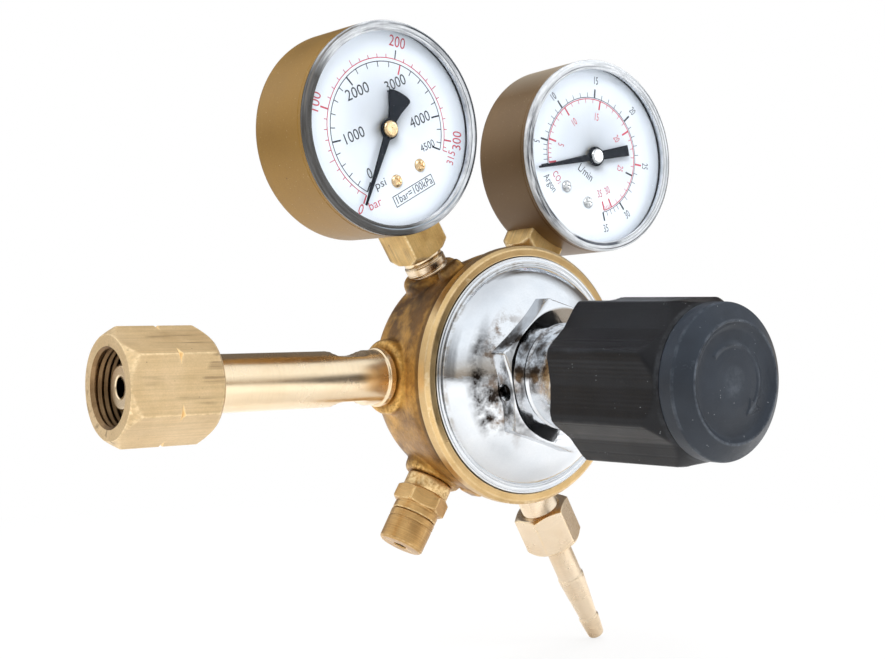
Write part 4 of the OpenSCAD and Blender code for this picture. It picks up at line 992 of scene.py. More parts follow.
hexProfile = roundProfile([(14.0, 31.4), (25.0, 31.4), (25.0, 37.8, 0.8), (20.75, 39.95, 0.6),
        (14.6, bonnetShape["hexFront"]), (14.6, bonnetShape["hexFront"])], 4, 0.2)
bonnetHexagon = finishPiece("bonnetHexagon", turnedMesh("bonnetHexagon", hexProfile,
        angles=hexAnglesWithVent(), shape=ventShape), bodyPlace, "body", finishes["hexagon chrome"])
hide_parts("bonnet")
bonnetNeck = turnedPiece("bonnetNeck", [
    (12.4, 26.5), (12.4, 58.0), (5.1, 58.0), (5.1, bonnetShape["neckFront"]),
    (14.4, bonnetShape["neckFront"], 0.3), (bonnetShape["neckRadius"], 65.0, 0.3),
    (bonnetShape["neckRadius"], 40.9, 0.5), (15.9, 40.1, 0.3), (15.9, 39.9), (13.5, 39.5), (13.5, 26.5),
], bodyPlace, "body", finishes["neck chrome"], "chrome_plate", around=160, loop=True)
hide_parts("bonnet")
print("bonnet done")


knobShape = {
    "gripAngle": 24.1,
    "cornerRadius": 24.6,
    "fluteRadius": 21.9,
    "turn": 3.5,
    "rear": 57.5,
    "front": 97.7,
    "bore": 16.1,
    "boreFloor": 79.0,
    "rearScale": 1.008,
    "frontScale": 0.98,
}


def knobOutline():
    # radius against angle, from one grip's corners, softened round the corners
    c, s = math.cos(math.radians(knobShape["gripAngle"])), math.sin(math.radians(knobShape["gripAngle"]))
    r, f = knobShape["cornerRadius"], knobShape["fluteRadius"]
    corner = []
    for quarter in range(4):
        a = math.radians(90 * quarter)
        for px, py in [(r * c, -r * s), (r * c + 0.2, -r * s + 2.2), (r * c - 0.3, -r * s + 5),
                (r * c - 0.65, 0), (r * c - 0.3, r * s - 5), (r * c + 0.2, r * s - 2.2), (r * c, r * s),
                (f * math.cos(math.radians(45)), f * math.sin(math.radians(45)))]:
            corner.append((px * math.cos(a) - py * math.sin(a), px * math.sin(a) + py * math.cos(a)))
    count = 720
    raw = []
    for k in range(count):
        t = 2 * math.pi * k / count
        dx, dy = math.cos(t), math.sin(t)
        best = 0.0
        for (ax, ay), (bx, by) in zip(corner, corner[1:] + corner[:1]):
            ex, ey = bx - ax, by - ay
            det = dx * -ey - dy * -ex
            if abs(det) < 1e-12:
                continue
            reach = (ax * -ey - ay * -ex) / det
            along = (dx * ay - dy * ax) / det
            if reach > 0 and -1e-9 <= along <= 1 + 1e-9:
                best = max(best, reach)
        raw.append(best)
    width = 2
    return [sum(raw[(k + j) % count] for j in range(-width,
            width + 1)) / (2 * width + 1) for k in range(count)]


outline = knobOutline()


def gripShape(t, r, z):
    if r < 17.5:
        return r, z
    side = outline[int(round(((t - math.radians(knobShape["turn"])) % (2 * math.pi)) / (2 * math.pi)
            * 720)) % 720]
    share = (z - knobShape["rear"]) / (knobShape["front"] - knobShape["rear"])
    side *= knobShape["rearScale"] + (knobShape["frontScale"] - knobShape["rearScale"]) * share
    return softMin(r, side, 0.4), z


knobBody = finishPiece("knobGrip", turnedMesh("knobGrip", roundProfile([
    (0.0, 96.9), (20.4, 96.9), (20.9, 97.6, 0.2), (25.6, 90.3, 0.2), (25.7, 88.5), (25.7, 58.3, 0.3),
    (24.1, knobShape["rear"], 0.3), (17.2, knobShape["rear"], 0.6), (knobShape["bore"], 58.4, 0.3),
    (knobShape["bore"], knobShape["boreFloor"]), (0.0, knobShape["boreFloor"]),
], 5, 0.7), around=480, shape=gripShape), bodyPlace, "knob", finishes["knob plastic"])
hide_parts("knob")

capRise = {"arrowRadius": 10.1, "arrowWidth": 1.3, "arrowHeight": 0.3, "start": 139.0, "end": -36.0,
    "headReach": 25.0, "headHalf": 2.5}


def capShape(t, r, z):
    # a raised curved arrow in the cap's dish
    if r > 13.5 or z < 103.0:
        return r, z
    deg = (math.degrees(t) + 180) % 360 - 180
    half = capRise["arrowWidth"] / 2
    lift = 0.0
    if capRise["end"] <= deg <= capRise["start"]:
        lift = max(0.0, min(1.0, (half - abs(r - capRise["arrowRadius"])) / 0.35 + 0.5))
    tip = capRise["end"] - deg
    if 0 <= tip <= capRise["headReach"]:
        wide = (1 - tip / capRise["headReach"]) * capRise["headHalf"]
        lift = max(lift, max(0.0, min(1.0, (wide - abs(r - capRise["arrowRadius"])) / 0.35 + 0.5)))
    return r, z + lift * capRise["arrowHeight"]


capProfile = roundProfile([
    (0.0, 97.0), (20.7, 97.0), (20.9, 97.75, 0.1), (21.3, 98.1, 0.15), (21.3, 102.4, 0.5),
    (16.6, 105.75, 0.35), (16.2, 105.85, 0.15), (15.9, 105.75, 0.2), (14.6, 104.55, 0.8),
    (12.6, 104.5, 0.8), (7.0, 104.9), (0.0, 105.0),
], 5, 0.33)
knobCap = finishPiece("knobCap", turnedMesh("knobCap", capProfile, around=300, shape=capShape), bodyPlace,
    "knob", finishes["cap plastic"])
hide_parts("knob_cap")
print("knob done")


stemShape = {"flatAt": 72.0, "flatHalf": 6.65, "flatLength": 7.0, "cutter": 3.6, "radius": 8.3}


def stemFlats(t, r, z):
    # two spanner flats, above and below, that run out in the cutter's curve
    if r < 8.0:
        return r, z
    away = abs(z - stemShape["flatAt"]) - stemShape["flatLength"] / 2
    cut = stemShape["flatHalf"]
    if away > 0:
        if away >= stemShape["cutter"]:
            return r, z
        cut += stemShape["cutter"] - math.sqrt(stemShape["cutter"] ** 2 - away ** 2)
    side = abs(math.cos(t))
    if side < 0.2:
        return r, z
    return min(r, cut / side), z


inletStem = finishPiece("inletStem", turnedMesh("inletStem", roundProfile([
    (2.8, 0.0, 0.25), (5.8, 0.0, 0.25), (6.3, 0.5, 0.2), (6.3, 12.1), (9.7, 14.9, 0.3), (9.7, 19.1, 0.3),
    (8.3, 19.1), (8.3, 82.6, 0.3), (8.95, 82.9, 0.25), (9.0, 84.7, 0.3), (8.2, 85.35), (6.0, 85.37),
    (2.8, 85.37),
], 4, 0.7) + [(2.8, 0.4)], around=192, shape=stemFlats, loop=True), stemPlace, "body",
finishes["stem brass"])
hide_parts("inlet_stem")

nutBar = {"count": 6, "apothem": nutShape["apothem"], "rounding": nutShape["rounding"],
    "corner": nutShape["corner"]}


def nutOuter(t, r, z):
    # hexagon sides with a V groove across each corner
    side = facetRadius(t, 6, nutBar["apothem"], nutBar["rounding"], nutBar["corner"])
    groove = nutShape["notchRadius"] + abs(z - nutShape["notchAt"]) * nutShape["notchSlope"]
    return softMin(softMin(r, side, 0.45), groove, 0.1), z


nutProfile = roundProfile([
    (11.15, -3.6), (14.3, -3.6, 0.25), (17.4, 0.5, 0.3),
    *[(17.4, nutShape["notchAt"] + 0.12 * k) for k in range(-7, 8)], (17.4, 21.4, 0.3), (13.6, 24.5, 0.5),
    (12.8, 24.6), (8.4, 24.6),
], 4, 0.35)
nutShell = turnedMesh("inletNut", nutProfile, angles=facetAngles(6, nutBar["apothem"], nutBar["rounding"],
        nutBar["corner"], 16), shape=nutOuter)
inletNut = finishPiece("inletNut", nutShell, stemPlace, "inlet_nut", finishes["nut brass"])
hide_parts("inlet_nut")


def threadShape(t, r, z):
    # a right-hand thread cut into the nut's bore
    if not (nutThread["start"] < z < nutThread["end"]) or r > 11.4:
        return r, z
    phase = (z / nutShape["pitch"] - t / (2 * math.pi)) % 1.0
    ridge = abs(phase - 0.5) * 2
    fade = min(1.0, (z - nutThread["start"]) / 1.2, (nutThread["end"] - z) / 1.2)
    return r + nutShape["threadDepth"] * ridge * max(0.0, fade), z


nutThread = {"start": -2.8, "end": 10.4}
nutBoreProfile = roundProfile([(11.15, -3.6), (10.3, -2.6, 0.1), (10.3, 10.4), (10.85, 10.7), (10.85, 19.4),
        (8.4, 19.4), (8.4, 24.6)], 2, 0.23)
nutBore = finishPiece("inletNutBore", turnedMesh("inletNutBore", nutBoreProfile, around=144,
        shape=threadShape), stemPlace, "inlet_nut", finishes["shaded bore brass"])
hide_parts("inlet_nut")
print("inlet done")


gaugeShape = {"caseRadius": 31.4, "rear": -8.1, "front": 15.9, "lensFront": 17.5, "dial": 13.7}


def gaugeCase(name, place, rear, finish, slot, node):
    case = turnedPiece(name, [
        (0.0, rear), (29.2, rear, 0.6), (30.7, rear + 0.5, 0.5), (31.25, rear + 1.1, 0.5),
        (gaugeShape["caseRadius"], rear + 2.0, 0.5), (gaugeShape["caseRadius"], 14.3, 0.1),
        (31.27, 14.45, 0.1), (31.27, 14.85, 0.1), (gaugeShape["caseRadius"], 15.0, 0.1),
        (gaugeShape["caseRadius"], 15.75, 0.12), (31.25, gaugeShape["front"], 0.1),
        (30.55, gaugeShape["front"], 0.1),
        (30.4, 15.7), (30.4, rear + 2.9, 2.0), (28.6, rear + 1.0, 0.6), (0.0, rear + 1.0),
    ], place, "body", finish, slot, around=220)
    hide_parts(node)
    return case


def gaugeLens(name, place, rimFinishName, node):
    rim = turnedPiece(name + "Rim", [
        (28.3, 17.0), (28.5, 17.25, 0.12), (28.95, 17.35, 0.15), (29.25, 17.15, 0.15), (29.6, 17.45, 0.2),
        (30.4, gaugeShape["lensFront"], 0.3), (31.05, 17.35, 0.3), (gaugeShape["caseRadius"], 16.8, 0.3),
        (gaugeShape["caseRadius"], 15.98), (30.2, gaugeShape["front"]),
        (30.2, 14.4), (29.6, 14.2), (28.8, 14.9, 0.5), (28.4, 16.0), (28.3, 16.6),
    ], place, "body", finishes[rimFinishName], "clear_lens", around=220, loop=True)
    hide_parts(node)
    pane = turnedPiece(name + "Pane", [
        (0.0, 17.12), (28.35, 17.0), (28.35, 16.5), (0.0, 16.4),
    ], place, "body", finishes["lens pane"], "clear_lens", around=128)
    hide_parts(node)
    return rim, pane


def gaugeDial(name, place, node):
    dial = turnedPiece(name, [(1.6, 13.62), (1.6, gaugeShape["dial"]), (29.0, gaugeShape["dial"], 0.2),
            (29.4, 13.5, 0.2), (30.15, 13.45), (30.15, 13.2), (1.6, 13.2)], place, "body",
            finishes["dial enamel"], "dial_face", around=160, loop=True)
    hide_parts(node)
    return dial


def arcFaces(bm, radius, width, startDeg, endDeg, z, steps=96):
    ring = []
    for k in range(steps + 1):
        a = math.radians(startDeg + (endDeg - startDeg) * k / steps)
        ring.append([bm.verts.new(((radius + o) * math.cos(a) * mm, (radius + o) * math.sin(a) * mm,
                z * mm)) for o in (-width / 2, width / 2)])
    for a, b in zip(ring, ring[1:]):
        bm.faces.new((a[0], b[0], b[1], a[1]))


def tickFace(bm, deg, inner, outer, width, z):
    a = math.radians(deg)
    ux, uy = math.cos(a), math.sin(a)
    corners = [(inner, -width / 2), (outer, -width / 2), (outer, width / 2), (inner, width / 2)]
    bm.faces.new([bm.verts.new(((r * ux - w * uy) * mm, (r * uy + w * ux) * mm, z * mm)) for r,
            w in corners])


def boxLine(bm, centre, size, tilt, width, z):
    a = math.radians(tilt)
    def at(x, y):
        return bm.verts.new(((centre[0] + x * math.cos(a) - y * math.sin(a)) * mm,
                (centre[1] + x * math.sin(a) + y * math.cos(a)) * mm, z * mm))
    outer = [(-size[0] / 2, -size[1] / 2), (size[0] / 2, -size[1] / 2), (size[0] / 2, size[1] / 2),
        (-size[0] / 2, size[1] / 2)]
    ring = [(at(x, y), at(x - math.copysign(width, x), y - math.copysign(width, y))) for x, y in outer]
    for k in range(4):
        a0, a1 = ring[k], ring[(k + 1) % 4]
        bm.faces.new((a0[0], a1[0], a1[1], a0[1]))


def letterFaces(bm, words, centre, height, tilt, z, squeeze=0.74, wide=0.0):
    # plain lettering, turned into faces and laid on the dial
    curve = bpy.data.curves.new("letters", "FONT")
    curve.body = words
    curve.size = height / 0.72 * mm
    curve.align_x = "CENTER"
    curve.align_y = "CENTER"
    curve.resolution_u = 3
    holder = bpy.data.objects.new("letters", curve)
    bpy.context.scene.collection.objects.link(holder)
    bpy.context.view_layer.update()
    mesh = bpy.data.meshes.new_from_object(holder.evaluated_get(bpy.context.evaluated_depsgraph_get()))
    if wide:
        across = [v.co.x for v in mesh.vertices]
        squeeze = wide * mm / (max(across) - min(across))
    mesh.transform(Matrix.Translation((centre[0] * mm, centre[1] * mm,
            z * mm)) @ Matrix.Rotation(math.radians(tilt), 4, "Z") @ Matrix.Diagonal((squeeze, 1, 1, 1)))
    bm.from_mesh(mesh)
    bpy.data.objects.remove(holder)
    bpy.data.curves.remove(curve)
    bpy.data.meshes.remove(mesh)


def printPiece(name, bm, place, finish, node):
    for face in bm.faces:
        if face.normal.z < 0:
            face.normal_flip()
    mesh = bpy.data.meshes.new(name)
    bm.to_mesh(mesh)
    bm.free()
    piece = finishPiece(name, mesh, place, "body", finishes[finish], smooth=False)
    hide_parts(node)
    return piece


def between(table, value):
    keys = sorted(table)
    for low, high in zip(keys, keys[1:]):
        if low <= value <= high:
            return table[low] + (table[high] - table[low]) * (value - low) / (high - low)
    return table[keys[-1]]


contentsDial = {
    "tilt": -7.0,
    "blackArc": 19.8, "redArc": 20.9,
    "psi": {0: 216.8, 1000: 162.9, 2000: 103.7, 3000: 44.0, 4000: -15.6, 4500: -45.3},
    "bar": {0: 216.8, 100: 136.3, 200: 50.1, 300: -36.3, 315: -45.0},
    # words, centre, wanted width or 0, height
    "blackNumbers": [("0", (-12.4, -7.9), 0, 3.3), ("1000", (-11.5, 3.9), 7.2, 3.3),
        ("2000", (-3.5, 14.0), 8.5, 3.3), ("3000", (9.8, 10.0), 7.7, 3.3), ("4000", (12.1, -3.1), 7.8, 3.3),
        ("4500", (10.4, -11.0), 5.5, 2.4), ("psi", (-10.6, -12.2), 3.9, 2.5)],
    "redNumbers": [("0", (-20.7, -15.1), 0, 3.2, -53.0), ("100", (-17.9, 17.9), 5.4, 3.2, 46.0),
        ("200", (16.8, 19.8), 5.7, 3.4, -40.0), ("300", (21.2, -15.0), 5.6, 3.4, 54.0),
        ("315", (16.4, -18.2), 4.1, 2.7, 44.0), ("bar", (-15.5, -16.2), 4.7, 2.7, -7.0)],
    "box": {"centre": (-1.1, -19.7), "size": (16.1, 3.5), "words": "1bar=100kPa", "height": 2.4},
}


def contentsPrint():
    d = contentsDial
    z = gaugeShape["dial"] + 0.03
    black, red = bmesh.new(), bmesh.new()
    arcFaces(black, d["blackArc"], 0.26, 216.8, -45.3, z)
    arcFaces(red, d["redArc"], 0.26, 216.8, -45.0, z)
    for psi in range(0, 4501, 200):
        if psi % 1000 and psi < 4500:
            tickFace(black, between(d["psi"], psi), 18.2, 19.8, 0.26, z)
    for psi in (0, 1000, 2000, 4000, 4500):
        tickFace(black, between(d["psi"], psi), 16.8, 19.8, 0.48, z)
    tickFace(red, between(d["psi"], 3000), 16.8, 19.8, 0.48, z)
    for bar in range(10, 311, 10):
        if bar % 100 == 0:
            continue
        tickFace(red, between(d["bar"], bar), 20.9, 22.9 if bar % 50 == 0 else 22.0, 0.24, z)
    for bar in (0, 100, 300):
        tickFace(red, between(d["bar"], bar), 20.9, 23.6, 0.5, z)
    tickFace(red, between(d["bar"], 315), 20.9, 22.6, 0.3, z)
    tickFace(black, between(d["bar"], 200), 20.9, 23.6, 0.4, z)
    for words, centre, wide, height in d["blackNumbers"]:
        letterFaces(black, words, centre, height, d["tilt"], z, 0.8, wide)
    for words, centre, wide, height, tilt in d["redNumbers"]:
        letterFaces(red, words, centre, height, tilt, z, 0.8, wide)
    letterFaces(black, d["box"]["words"], d["box"]["centre"], d["box"]["height"], d["tilt"] + 3.5, z, 0.8,
        14.6)
    boxLine(black, d["box"]["centre"], d["box"]["size"], d["tilt"] + 3.5, 0.24, z)
    printPiece("contentsScaleBlack", black, contentsPlace, "black ink", "contents_dial")
    printPiece("contentsScaleRed", red, contentsPlace, "red ink", "contents_dial")


# both flow scales share one circle a little left of the middle; turns are about that circle's centre
flowDial = {
    "centre": (-0.9, 0.0), "blackArc": 18.95, "redArc": 18.45,
    "black": {0: 220.4, 5: 197.5, 10: 158.7, 15: 113.6, 20: 68.8, 25: 23.1, 30: -23.2, 35: -48.2},
    "red": {0: 219.0, 5: 195.3, 10: 155.8, 15: 105.7, 20: 57.9, 25: 10.6, 30: -35.2, 35: -46.0},
    "blackTick": 2.9, "redTick": 3.0,
    "blackNumbers": [("5", (-22.9, -8.4)), ("10", (-23.3, 8.0)), ("15", (-10.6, 22.6)), ("20", (7.5, 22.7)),
        ("25", (20.7, 9.2)), ("30", (21.3, -9.3)), ("35", (15.3, -18.2))],
    "redNumbers": [("5", (-13.7, -4.0)), ("10", (-12.2, 5.5)), ("15", (-4.9, 12.2)), ("20", (5.7, 10.6)),
        ("25", (11.5, 2.7)), ("30", (10.1, -6.8)), ("35", (7.8, -9.5))],
}


def flowPrint():
    d = flowDial
    z = gaugeShape["dial"] + 0.03
    black, red = bmesh.new(), bmesh.new()
    outer, inner = d["blackArc"], d["redArc"]
    arcFaces(black, outer, 0.22, 220.4, -48.2, z)
    arcFaces(red, inner, 0.30, 219.0, -46.0, z)
    for n in range(1, 35):
        if n % 5:
            tickFace(black, between(d["black"], n), outer, outer + 1.6, 0.20, z)
            tickFace(red, between(d["red"], n), inner - 1.3, inner, 0.20, z)
    for n in range(0, 36, 5):
        blackInk, redInk = (red, black) if n == 25 else (black, red)
        tickFace(blackInk, between(d["black"], n), outer, outer + d["blackTick"], 0.62, z)
        tickFace(redInk, between(d["red"], n), inner - d["redTick"], inner, 0.58, z)
    for ink in (black, red):
        bmesh.ops.translate(ink, vec=(d["centre"][0] * mm, d["centre"][1] * mm, 0), verts=ink.verts)
    for words, centre in d["blackNumbers"]:
        letterFaces(black, words, centre, 2.6, math.degrees(math.atan2(centre[1],
                centre[0])) - 90 if centre[1] > 0 else math.degrees(math.atan2(centre[1], centre[0])) + 90,
                z, 0.62)
    for words, centre in d["redNumbers"]:
        letterFaces(red, words, centre, 2.5, math.degrees(math.atan2(centre[1],
                centre[0])) - 90 if centre[1] > 0 else math.degrees(math.atan2(centre[1], centre[0])) + 90,
                z, 0.62)
    letterFaces(black, "L/min", (-0.6, -6.5), 2.8, -6.0, z, 0.7, 6.6)
    letterFaces(black, "Argon", (-11.8, -17.3), 2.6, -24.0, z, 0.7)
    letterFaces(red, "CO", (-10.5, -14.0), 2.4, -24.0, z, 0.7)
    letterFaces(red, "2", (-8.7, -15.3), 1.4, -24.0, z, 0.7)
    printPiece("flowScaleBlack", black, flowPlace, "black ink", "flow_dial")
    printPiece("flowScaleRed", red, flowPlace, "red ink", "flow_dial")


def crossShape(t, r, z):
    # a screw head's cross recess
    if r > 1.35:
        return r, z
    x, y = r * math.cos(t - 0.4), r * math.sin(t - 0.4)
    arm = min(abs(x), abs(y))
    depth = max(0.0, min(1.0, (0.26 - arm) / 0.1)) * max(0.0, min(1.0, (1.25 - r) / 0.2))
    return r, z - 0.38 * depth


def dialScrews(name, place, spots, finish, node):
    for (x, y), label in zip(spots, ("Left", "Right")):
        profile = roundProfile([(0.0, 14.62), (0.7, 14.6), (1.3, 14.45, 0.2), (1.8, 14.1, 0.3),
                (1.95, 13.74)], 3, 0.09)
        head = finishPiece(name + label, turnedMesh(name + label, profile, around=72, shape=crossShape),
            place @ Matrix.Translation((x * mm, y * mm, 0)), "body", finishes[finish])
        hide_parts(node)


def bladePiece(name, outline, place, zeroDeg, node, body):
    bm = bmesh.new()
    low, high = 14.62, 15.08
    bottom = [bm.verts.new((x * mm, y * mm, low * mm)) for x, y in outline]
    top = [bm.verts.new((x * mm, y * mm, high * mm)) for x, y in outline]
    bm.faces.new(list(reversed(bottom)))
    bm.faces.new(top)
    for k in range(len(outline)):
        j = (k + 1) % len(outline)
        bm.faces.new((bottom[k], bottom[j], top[j], top[k]))
    bmesh.ops.recalc_face_normals(bm, faces=bm.faces)
    edges = [e for e in bm.edges if all(v.co.z > (high - 0.01) * mm for v in e.verts)]
    bmesh.ops.bevel(bm, geom=edges, offset=0.08 * mm, segments=2, affect="EDGES")
    mesh = bpy.data.meshes.new(name)
    bm.to_mesh(mesh)
    bm.free()
    piece = finishPiece(name, mesh, place @ Matrix.Rotation(math.radians(zeroDeg), 4, "Z"), body,
        finishes["pointer enamel"], smooth=True, sharpDeg=30)
    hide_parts(node)
    return piece


def fanOutline():
    # a slim blade with a fan-shaped counterweight
    out = [(24.0, -0.28), (24.1, 0.0), (24.0, 0.28), (3.0, 1.15)]
    for k in range(9):
        a = math.radians(50 + k * 10)
        out.append((3.0 * math.cos(a), 3.0 * math.sin(a)))
    out += [(-3.0, 1.45), (-6.0, 2.3), (-9.0, 3.6), (-10.4, 4.1), (-11.0, 3.8), (-11.4, 2.8), (-11.6, 1.4),
        (-11.65, 0.0)]
    return out + [(x, -y) for x, y in reversed(out[3:-1])]


def barOutline():
    # a slim blade with a straight counterweight
    out = [(24.4, -0.35), (24.5, 0.0), (24.4, 0.35), (3.0, 1.15)]
    for k in range(9):
        a = math.radians(45 + k * 11)
        out.append((3.2 * math.cos(a), 3.2 * math.sin(a)))
    out += [(-3.2, 1.45), (-8.0, 1.6), (-14.5, 1.85), (-14.6, 0.0)]
    return out + [(x, -y) for x, y in reversed(out[3:-1])]


def hubPiece(name, place, finish, slot, node, body):
    hub = turnedPiece(name, [(0.0, 15.95), (0.26, 15.95, 0.05), (0.34, 16.08, 0.06), (1.9, 16.1, 0.2),
            (2.45, 15.8, 0.25), (2.45, 15.12), (0.9, 15.05)], place, body, finishes[finish], slot,
            around=72)
    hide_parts(node)
    collar = turnedPiece(name + "Collar", [(1.5, 13.9), (2.5, 13.95, 0.2), (2.7, 14.3, 0.2), (2.6, 14.62)],
        place, body, finishes["plate brass"], slot, around=64)
    return hub, collar


def gaugeBlock(name, angle, reach, yaw, blockStart, threaded, node):
    # square block, necked thread and the stem down into the port
    base = portPlace(angle, 0.0, yaw)
    top = reach - 23.0
    bar = {"count": 4, "apothem": 7.0, "rounding": 0.55, "corner": 45.0}
    block = facetPiece(name, [(0.0, blockStart), (7.8, blockStart, 0.2), (10.2, blockStart + 2.2, 0.3),
            (10.2, top), (0.0, top)], base, "body", finishes["milled brass"], bar,
            soft=0.35, widest=0.5)
    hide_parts(node)
    pitch, depth, rad = 1.8, 0.72, 6.58
    first, last = 37.9, blockStart - 2.4

    def shape(t, r, z):
        if r < 4.0 or z < first or z > first + (last - first) * threaded:
            return r, z
        phase = (z / pitch - t / (2 * math.pi)) % 1.0
        ridge = max(0.0, min(1.0, abs(phase - 0.5) * 2.6 - 0.15))
        return r - depth * ridge, z
    steps = max(8, int((last - first) / 0.14))
    profile = [(0.0, 26.6), (6.0, 26.6), (6.5, 27.2),
        (6.5, first)] + [(rad, first + (last - first) * k / steps) for k in range(steps + 1)] + [(5.6,
            last + 0.05), (5.6, last + 0.45), (6.2, last + 0.6), (6.2, blockStart + 0.3),
            (0.0, blockStart + 0.3)]
    thread = finishPiece(name + "Thread", turnedMesh(name + "Thread", profile, around=96, shape=shape),
        base, "body", finishes["turned brass"])
    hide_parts(node)
    return block, thread


gaugeCase("contentsCase", contentsPlace, -9.7, finishes["contents case"], "brown_brass_case",
    "contents_case")
gaugeCase("flowCase", flowPlace, -8.1, finishes["flow case"], "dark_brass_case", "flow_case")
gaugeLens("contentsLens", contentsPlace, "contents rim", "contents_lens")
gaugeLens("flowLens", flowPlace, "flow rim", "flow_lens")
gaugeDial("contentsDialPlate", contentsPlace, "contents_dial")
gaugeDial("flowDialPlate", flowPlace, "flow_dial")
contentsPrint()
flowPrint()
dialScrews("contentsDialScrew", contentsPlace, ((-5.1, -14.3), (4.8, -14.4)), "screw brass",
    "contents_dial_screws")
dialScrews("flowDialScrew", flowPlace, ((-5.4, -14.6), (4.7, -14.6)), "screw nickel",
    "flow_dial_screws")
bladePiece("contentsPointer", fanOutline(), contentsPlace, 217.5, "contents_pointer", "contents_pointer")
bladePiece("flowPointer", barOutline(), flowPlace, 220.0, "flow_pointer", "flow_pointer")
hubPiece("contentsHub", contentsPlace, "screw brass", "screw_brass", "contents_pointer_hub",
    "contents_pointer")
hubPiece("flowHub", flowPlace, "screw nickel", "screw_nickel", "flow_pointer_hub", "flow_pointer")
gaugeBlock("contentsBlock", layout["contentsAngle"], layout["contentsReach"], 0.0, 44.2, 0.55,
    "contents_socket")
gaugeBlock("flowBlock", layout["flowAngle"], layout["flowReach"], layout["flowYaw"], 43.9, 1.0,
    "flow_socket")
print("gauges done")


reliefPlace = portPlace(layout["reliefAngle"])
reliefBar = {"count": 6, "apothem": 7.5, "rounding": 0.9, "corner": 30.0}
reliefNeck = turnedPiece("reliefNeck", [
    (1.2, 27.0), (4.8, 27.0), (4.8, 38.5), (6.6, 38.63, 0.2), (7.2, 39.1, 0.4), (7.2, 43.35), (6.9, 43.6),
    (1.2, 43.6),
], reliefPlace, "body", finishes["relief brass"], "relief_brass", around=120, loop=True)
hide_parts("relief_body")
reliefHex = facetPiece("reliefHexagon", [
    (4.2, 43.2), (7.3, 43.2, 0.3), (8.9, 44.1, 0.3), (8.9, 47.6, 0.3), (7.3, 48.5, 0.3), (7.0, 48.5),
    (7.0, 48.9, 0.15), (7.1, 49.3, 0.2), (7.1, 51.15), (4.2, 51.15),
], reliefPlace, "body", finishes["relief brass"], reliefBar, soft=0.4, widest=0.3,
loop=True)
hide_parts("relief_body")
reliefCap = turnedPiece("reliefCap", [
    (5.7, 51.25), (6.8, 51.25, 0.2), (7.15, 51.7, 0.2), (7.12, 53.3, 0.1), (6.98, 53.45, 0.08),
    (6.98, 53.75, 0.08), (7.1, 53.9, 0.1), (7.0, 60.7, 0.3), (6.4, 61.3, 0.3), (2.3, 61.3, 0.25),
    (2.05, 61.0, 0.1), (2.05, 59.1), (5.66, 59.1), (5.66, 51.3),
], reliefPlace, "body", finishes["relief brass"], "relief_brass", around=140, loop=True)
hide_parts("relief_cap")
print("relief valve done")


outletPlace = portPlace(layout["outletAngle"])
outletBar = {"count": 6, "apothem": 8.5, "rounding": 0.6, "corner": 30.0}
outletStud = turnedPiece("outletStud", [
    (1.6, 27.0), (6.5, 27.0), (6.5, 37.2), (6.13, 37.7), (6.13, 52.8), (6.4, 53.0), (6.45, 58.0),
    (4.4, 58.1), (1.6, 55.4),
], outletPlace, "body", finishes["turned brass"], "turned_brass", around=120, loop=True)
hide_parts("outlet_stud")
outletNut = facetPiece("outletNut", [
    (6.55, 51.9), (8.2, 51.9, 0.3), (10.2, 52.8, 0.3), (10.2, 64.7, 0.3), (8.0, 66.05, 0.4), (7.4, 66.1),
    (4.4, 66.1, 0.2), (4.37, 65.8), (4.37, 62.8), (6.55, 62.7),
], outletPlace, "outlet_nut", finishes["turned brass"], outletBar, soft=0.4, widest=0.4,
loop=True)
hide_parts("outlet_nut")
hoseTail = turnedPiece("hoseTail", [
    (1.7, 56.9), (2.6, 56.9), (3.9, 58.2), (6.1, 58.2), (6.1, 62.4), (4.2, 62.45), (4.2, 79.1, 0.3),
    (4.5, 79.5, 0.2), (4.5, 80.6, 0.4), (3.1, 95.9, 0.3), (3.45, 96.5, 0.2), (3.45, 97.0, 0.3),
    (2.75, 103.6, 0.4), (2.3, 104.1, 0.2), (1.9, 104.1, 0.1), (1.7, 103.9),
], outletPlace, "body", finishes["turned brass"], "turned_brass", around=120, loop=True, widest=1.2)
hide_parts("hose_tail")
print("outlet done")


keptFinishes = {
    "slip_ring": "spring steel", "diaphragm": "rubber", "diaphragm_plate": "turned aluminium",
    "range_spring": "spring steel",
    "spring_button": "zinc steel", "adjusting_screw": "zinc steel", "valve_nozzle": "plate brass",
    "valve_poppet": "zinc steel",
    "valve_spring": "spring steel", "inlet_filter": "sintered bronze", "relief_poppet": "zinc steel",
    "relief_spring": "spring steel",
}
for gauge in ("contents", "flow"):
    keptFinishes.update({
        gauge + "_lens_seal": "rubber", gauge + "_bourdon_tube": "tube bronze",
        gauge + "_movement_frame": "plate brass",
        gauge + "_sector_gear": "plate brass", gauge + "_pinion_arbor": "plate brass",
        gauge + "_link": "plate brass", gauge + "_hairspring": "spring steel",
    })
for nodeName, finishName in keptFinishes.items():
    mesh = cadNodes[nodeName].data
    if not mesh.materials:
        mesh.materials.append(finishes[finishName])
    for k in range(len(mesh.materials)):
        mesh.materials[k] = finishes[finishName]
print("kept pieces finished:", len(keptFinishes))


